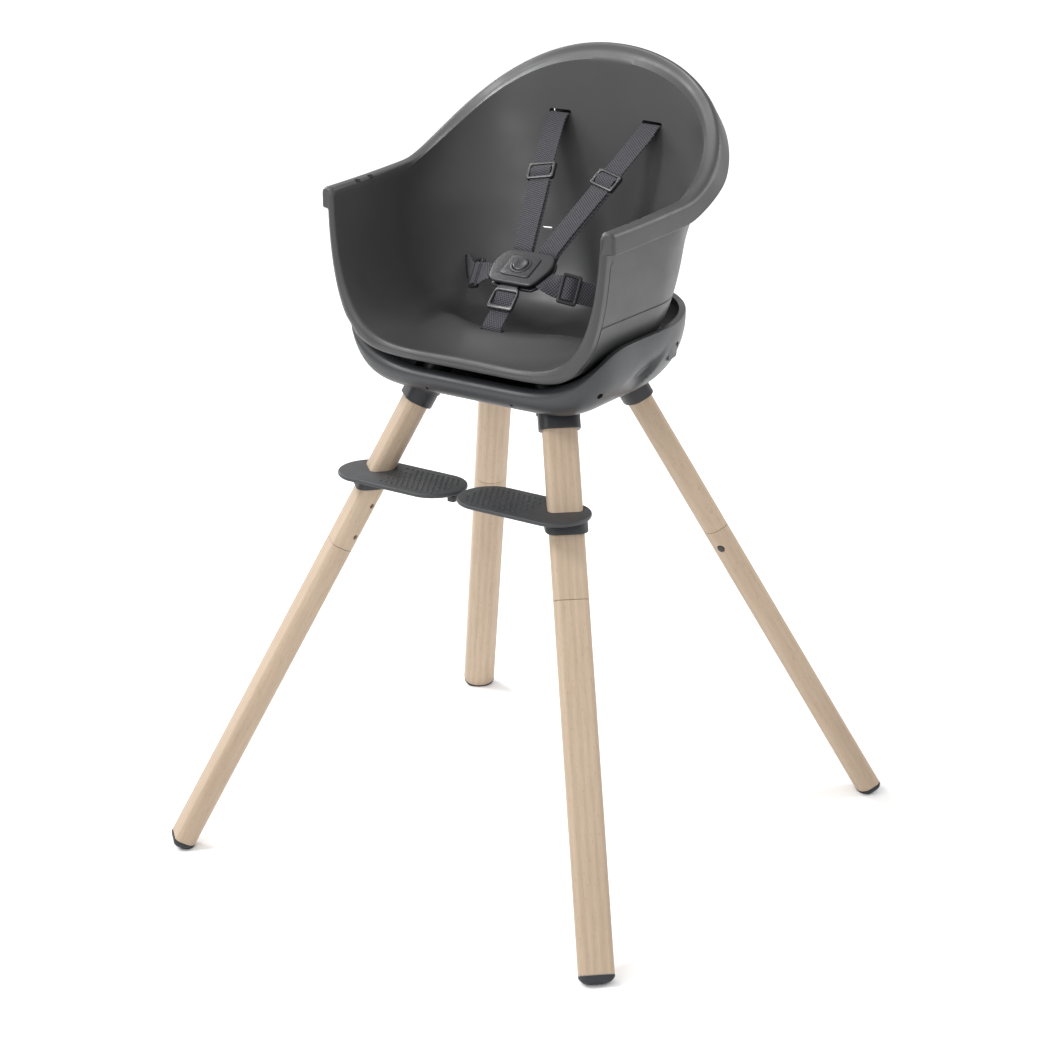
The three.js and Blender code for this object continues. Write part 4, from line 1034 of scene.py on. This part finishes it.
def make_footplate(side, sx):
    middle = (PLATE_INNER_X + PLATE_OUTER_X) / 2
    half = (PLATE_OUTER_X - PLATE_INNER_X) / 2
    outline = rounded_rect(half, PLATE_HALF_DEPTH, PLATE_HALF_DEPTH - 0.1, 16)
    at, under = upright(sx * middle, PLATE_Y), PLATE_Z - PLATE_THICK
    plate = flat_part("plate_" + side, outline, under, PLATE_Z, 1.9, at, PLATE, segments=5)
    boolean(plate, [leg_tool(sx, PLATE_Z, 60)])
    centres = []
    for row in range(-4, 5):
        for column in range(14):
            x = sx * (PLATE_INNER_X + 16 + DOT_PITCH_X * (column + 0.5 * (row % 2)))
            y = PLATE_Y + row * DOT_PITCH_Y
            inner_end = abs(x) - PLATE_INNER_X
            inside = math.hypot(max(0, PLATE_HALF_DEPTH - inner_end), y - PLATE_Y) < PLATE_HALF_DEPTH - 8
            if inside and inner_end < 100 - 14 * (row % 2):
                centres.append((x, y))
    join([plate, grip_dots("dots_" + side, centres, PLATE_Z - 0.15)])
    stands_for(plate, "foot_rest_" + side, "plate_plastic", "footplate_" + side)

    pin = pin_hole(sx, -1, 2).translation
    top = under - 0.3
    low, high = (top - 60) * ALONG, (top + 60) * ALONG
    at = leg_frame(sx, -1)
    sleeve = flat_part("clamp_" + side, leg_section(CLAMP_WALL), low, high, NO_BEVEL, at, PLATE)
    slab = cutter(rounded_rect(200, 200, 10), top - CLAMP_HEIGHT, top, upright(sx * 140, PLATE_Y))
    boolean(sleeve, [slab], "INTERSECT")
    at = upright(pin.x - sx * 19, pin.y)
    housing = flat_part("housing", rounded_rect(20, 11, 2.5), top - HOUSING_HEIGHT, top, 1.2, at, PLATE)
    boolean(sleeve, [housing], "UNION")
    channel = cutter(rounded_rect(60, 5.5, 0.5, 2), top - 10.2, top - 3.8, upright(pin.x - sx * 30, pin.y))
    boolean(sleeve, [leg_tool(sx, top, 90), channel])
    stands_for(sleeve, "foot_rest_" + side, "plate_plastic", "footplate_clamp_" + side)

    z = top - LATCH_DROP
    inner, outer = LATCH_INNER_X, abs(pin.x) - 1.5
    low, high = z - LATCH_HALF_HEIGHT, z + LATCH_HALF_HEIGHT
    outline = rounded_rect((outer - inner) / 2 - 2, 5, 1.5)
    at = upright(sx * (inner + outer - 4) / 2, pin.y)
    bar = flat_part("latch_" + side, outline, low, high, 0.6, at, BUTTON)
    at = basis(Y, Z, X, Vector((outer - 8 if sx > 0 else -outer, pin.y, z)))
    nose = flat_part("nose", circle(NOSE_R, 24), 0, 8, 0.6, at, BUTTON)
    low, high = z - TAB_HALF_HEIGHT, z + TAB_HALF_HEIGHT
    tab = flat_part("tab", rounded_rect(5, 15, 2.2), low, high, 1.0, upright(sx * (inner + 5), pin.y), BUTTON)
    boolean(bar, [nose, tab], "UNION")
    stands_for(bar, "foot_rest_latch_" + side, "button_plastic", "footplate_latch_" + side)


for side, sx in SIDES:
    make_footplate(side, sx)


# -------- harness
BUCKLE_CENTRE = Vector((0, -9, 705))
BUCKLE_PITCH, TONGUE_PITCH = 0.477, 0.78
COVER_TOP, BUCKLE_BUTTON_V, BUCKLE_BUTTON_R = 4, 2, 10
WEB_HALF, WEB_HALF_THICK = 13.6, 1.1
BUCKLE_HALF = [(29, 28.5), (35.5, 22.5), (39, 12), (39.5, 1), (34, -19.5), (29, -26), (24, -27.5)]


TONGUE_CORNERS = [
    (1.5, 26.5), (28, 26.5), (33.5, 21.5), (36.5, 11.5), (37, 1), (32.5, -17), (13, -17), (13, 14), (1.5, 14),
]


def tilted(origin, pitch):
    c, s = math.cos(pitch), math.sin(pitch)
    return basis(X, Vector((0, c, s)), Vector((0, -s, c)), origin)


BUCKLE_FRAME = tilted(BUCKLE_CENTRE, BUCKLE_PITCH)
BUTTON_FRAME = BUCKLE_FRAME @ upright(0, BUCKLE_BUTTON_V)


def on_buckle(u, v, n):
    return BUCKLE_FRAME @ Vector((u, v, n))


TONGUE_FRAME = tilted(on_buckle(0, -28.5, -2.7), TONGUE_PITCH)


def hermite(a, b, slope_a, slope_b, t):
    return (
        a * (2 * t ** 3 - 3 * t ** 2 + 1) + slope_a * (t ** 3 - 2 * t ** 2 + t)
        + b * (3 * t ** 2 - 2 * t ** 3) + slope_b * (t ** 3 - t ** 2)
    )


def smooth_run(stations, gap=2.5):
    """Points about gap mm apart on a smooth path through the stations, each with its width direction."""
    points = [p for p, _ in stations]
    last = len(points) - 1
    slopes = []
    for i, p in enumerate(points):
        before, after = points[max(0, i - 1)], points[min(last, i + 1)]
        slopes.append((after - before) / max(1e-6, (after - p).length + (p - before).length))
    run = []
    for i in range(last):
        span = (points[i + 1] - points[i]).length
        count = max(2, round(span / gap))
        for k in range(count):
            t = k / count
            point = hermite(points[i], points[i + 1], slopes[i] * span, slopes[i + 1] * span, t)
            run.append((point, stations[i][1].lerp(stations[i + 1][1], t).normalized()))
    run.append(stations[-1])
    return run


def strap(name, stations, width=WEB_HALF, thick=WEB_HALF_THICK, facing_up=Vector((0, -0.6, 1))):
    """Webbing through stations of (point, width direction), with soft selvedges and a UV map in mm."""
    edge = thick * 0.55
    section = [(width - edge, thick)] + [(width * k, thick) for k in (0.62, 0.3, 0, -0.3, -0.62)]
    section += [(-width + edge, thick), (-width, edge * 0.6), (-width, -edge * 0.6)]
    section += [(-x, -y) for x, y in section]
    run = smooth_run(stations)
    rings, lengths = [], [0.0]
    sign = None
    for i, (point, across) in enumerate(run):
        ahead, behind = run[min(len(run) - 1, i + 1)][0], run[max(0, i - 1)][0]
        along = (ahead - behind).normalized()
        side = (across - along * across.dot(along)).normalized()
        normal = along.cross(side)
        if sign is None:
            sign = 1 if normal.dot(facing_up) > 0 else -1
        rings.append([tuple(point + side * x + normal * (sign * y)) for x, y in section])
        if i:
            lengths.append(lengths[-1] + (point - run[i - 1][0]).length)
    piece = mesh_piece(name, *loft(rings), WEBBING, 50, 0.0005)
    mesh = piece.data
    layer = mesh.uv_layers.new(name="UVMap")
    n = len(section)
    for polygon in mesh.polygons:
        for corner_index in polygon.loop_indices:
            vertex = mesh.loops[corner_index].vertex_index
            ring, k = divmod(vertex, n)
            layer.data[corner_index].uv = (section[k][0], lengths[min(ring, len(lengths) - 1)])
    return piece


SHOULDER_SLIDER = ((46.5, 99.3, 795), (0.25, 0.714, 0.654), (0.94, -0.18, -0.165))
WAIST_SLIDER = ((66, -6.5, 690), (0.8, 0.53, -0.27), (0.02, -0.46, -0.84))
SLIDER_REACH = 14
SHOULDER_TAIL = ((64, 151, 841.5), (65.5, 160.5, 850), (66, 166, 851.4), (66, 172, 849), (66, 181, 846.2))


def slider_frame(sx, spot):
    at, run, across = (sided(sx, *v) for v in spot)
    y = run.normalized()
    x = (across - y * across.dot(y)).normalized()
    z = x.cross(y)
    if z.z < 0:
        x, z = -x, -z
    return basis(x, y, z, at)


def slider_stations(sx, spot, turn=1):
    at, run, across = (sided(sx, *v) for v in spot)
    return [(at + run * d, across * turn) for d in (-SLIDER_REACH, 0, SLIDER_REACH)]


def window_bulge(name, frame):
    """The webbing that rises over the middle bar of an adjuster."""
    rise = [(-9.5, 0.2), (-6.5, 1.2), (-3.5, 2.9), (0, 3.5), (3.5, 2.9), (6.5, 1.2), (9.5, 0.2)]
    across, up = frame.col[0].to_3d(), frame.col[2].to_3d()
    spots = [(frame @ Vector((0, y, z)), across) for y, z in rise]
    return strap(name, spots, WEB_HALF - 0.4, 0.9, up)


def harness_plastic(name, node, outline, low, high, bevel, place, cut=None, holes=()):
    """A buckle-plastic part that stays on the seat."""
    part = flat_part(name, outline, low, high, bevel, place, BUCKLE, holes)
    if cut:
        boolean(part, [cut])
    stands_for(part, "seat", "buckle_plastic", node)


def make_slider(name, node, frame):
    window = rounded_rect(13.9, 8.0, 1.6)[::-1]
    tunnel = cutter(rounded_rect(14.2, 20, 0.4, 2), -1.5, 1.5, frame)
    harness_plastic(name, node, rounded_rect(18, 12, 3.4), -2.6, 3.1, 1.2, frame, tunnel, [window])


def offset_layer(stations, down, aside):
    """The same path, lowered under the first layer and moved a little to one side."""
    return [(p + Vector((aside, 0.45 * down, -0.9 * down)), a) for p, a in stations]


def make_shoulder(side, sx):
    start = on_buckle(sx * 17.5, 27.2, -2.8)
    bend = sided(sx, 19, 22, 724)
    adjuster = slider_stations(sx, SHOULDER_SLIDER, sx)
    tail = [(sided(sx, *spot), X) for spot in SHOULDER_TAIL]
    top = strap("shoulder_web_" + side, [(start, X), (bend, X), *adjuster, *tail])
    under = [(on_buckle(sx * 17.8, 29.5, -4.4), X)] + offset_layer([(bend, X), adjuster[0]], 2.6, 1.6)
    lower = strap("under_layer", under)
    frame = slider_frame(sx, SHOULDER_SLIDER)
    join([top, lower, window_bulge("bulge", frame)])
    stands_for(top, "seat", "webbing", "shoulder_strap_" + side)
    make_slider("shoulder_adjuster_" + side, "shoulder_slider_" + side, frame)
    at = upended(sx * 66, 183.4, 853)
    outline = rounded_rect(19, 7, 3)
    harness_plastic("shoulder_toggle_" + side, "shoulder_anchor_" + side, outline, -2, 2, 1.2, at)


def make_waist(side, sx):
    slot = waist_frame(sx)
    up = -slot.col[0].to_3d()
    start = on_buckle(sx * 37.6, -9, -2.8)
    stations = [
        (start, Vector((0, -0.889, -0.459))),
        (sided(sx, 41, -16.5, 697.8), Vector((0, -0.86, -0.5))),
        *slider_stations(sx, WAIST_SLIDER),
        (sided(sx, 98, 26, 678), sided(sx, -0.2, -0.46, -0.85)),
        *((slot @ Vector((0, 0, depth)), up) for depth in (-9, -3, 4)),
    ]
    web = strap("waist_web_" + side, stations)
    frame = slider_frame(sx, WAIST_SLIDER)
    join([web, window_bulge("bulge", frame)])
    stands_for(web, "seat", "webbing", "waist_strap_" + side)
    make_slider("waist_adjuster_" + side, "waist_slider_" + side, frame)
    outline = rounded_rect(14, 4, 2)
    harness_plastic("waist_toggle_" + side, "waist_anchor_" + side, outline, 4.5, 7.1, 0.8, slot)


def make_crotch():
    def on_tongue(y, n):
        return TONGUE_FRAME @ Vector((0, y, n)), X

    low = FLOOR_Z + HUMP
    spots = [on_tongue(*q) for q in ((-8, 0), (-14, -0.8), (-24, -4.2), (-33, -4.6), (-42, -4))]
    spots += [(Vector((0, y, z)), X) for y, z in ((-67.7, low + 4), (-68, low), (-68, low - 8))]
    stands_for(strap("crotch_web", spots), "seat", "webbing", "crotch_strap")
    wedge = [(-11, -18), (-13, -30.5), (13, -30.5), (11, -18)]
    tab = flat_part("crotch_loop", wedge, -4.4, -1, 0.5, BUCKLE_FRAME, BUCKLE)
    outline = softened([(13, 1), (-13, 1), (-17.5, -7), (-18.7, -31.5), (18.7, -31.5), (17.5, -7)], 4.5)
    window = [(x, y - 16.5) for x, y in rounded_rect(14, 9.2, 2.5)]
    loop = flat_part("loop", outline, -2.2, 2.2, 1.7, TONGUE_FRAME, BUCKLE, [window[::-1]], segments=4)
    join([tab, loop])
    stands_for(tab, "seat", "buckle_plastic", "crotch_tongue")
    at = upright(0, -68, FLOOR_Z + 10.6)
    harness_plastic("crotch_toggle", "crotch_anchor", rounded_rect(19, 5, 2.5), -2, 2, 1.2, at)


def turned(name, profile, place, material, sides=56):
    """A solid of revolution from (radius, height) pairs, from its foot to the middle of its top."""
    rings = [[(x, y, h) for x, y in circle(r, sides)] for r, h in profile]
    piece = mesh_piece(name, *loft(rings), material, 40, 0.002)
    piece.matrix_world = metric(place)
    return piece


def make_buckle():
    half = softened(BUCKLE_HALF + [(-x, y) for x, y in reversed(BUCKLE_HALF)], 5, 6)
    harness_plastic("buckle_back", "buckle_body", half, -8.6, -4.7, 1.5, BUCKLE_FRAME)
    cover = flat_part("buckle_front", half, -0.6, COVER_TOP, 2.2, BUCKLE_FRAME, BUCKLE, segments=5)
    at = BUCKLE_FRAME @ upright(0, 1)
    pad = flat_part("pad", rounded_rect(20.5, 17.5, 4.5), 1, COVER_TOP + 1.2, 0.7, at, BUCKLE)
    ring = flat_part("ring", circle(13.6, 64), 1, COVER_TOP + 2.1, 0.9, BUTTON_FRAME, BUCKLE)
    boolean(cover, [pad, ring], "UNION")
    boolean(cover, [cutter(circle(BUCKLE_BUTTON_R + 0.5, 64), -3, 12, BUTTON_FRAME)])
    stands_for(cover, "seat", "buckle_plastic", "buckle_cover")
    profile = [
        (0.01, -1.6), (BUCKLE_BUTTON_R, -1.6), (BUCKLE_BUTTON_R, 6.0), (9.8, 6.7), (9.2, 7.3),
        (8.3, 7.5), (6.4, 7.25), (3.5, 6.9), (0.01, 6.8),
    ]
    button = turned("buckle_press", profile, BUTTON_FRAME, BUCKLE)
    stands_for(button, "harness_button", "buckle_plastic", "buckle_button")
    for side, sx in SIDES:
        outline = [(sx * x, y) for x, y in TONGUE_CORNERS][::-sx]
        harness_plastic("clip_tongue_" + side, "tongue_" + side, outline, -4.4, -1, 0.5, BUCKLE_FRAME)


make_buckle()
make_crotch()
for side, sx in SIDES:
    make_shoulder(side, sx)
    make_waist(side, sx)

# -------- dowels inside the legs
DOWEL_DOWN, DOWEL_UP = 58, 34
for place, sx, sy in CORNERS:
    outline, at = rounded_rect(11, 6.5, 4), leg_frame(sx, sy)
    spigot = flat_part("dowel_" + place, outline, SEAM_S - DOWEL_DOWN, SEAM_S + DOWEL_UP, 1.0, at, STEEL)
    stands_for(spigot, "chair_frame", "steel", "leg_spigot_" + place)
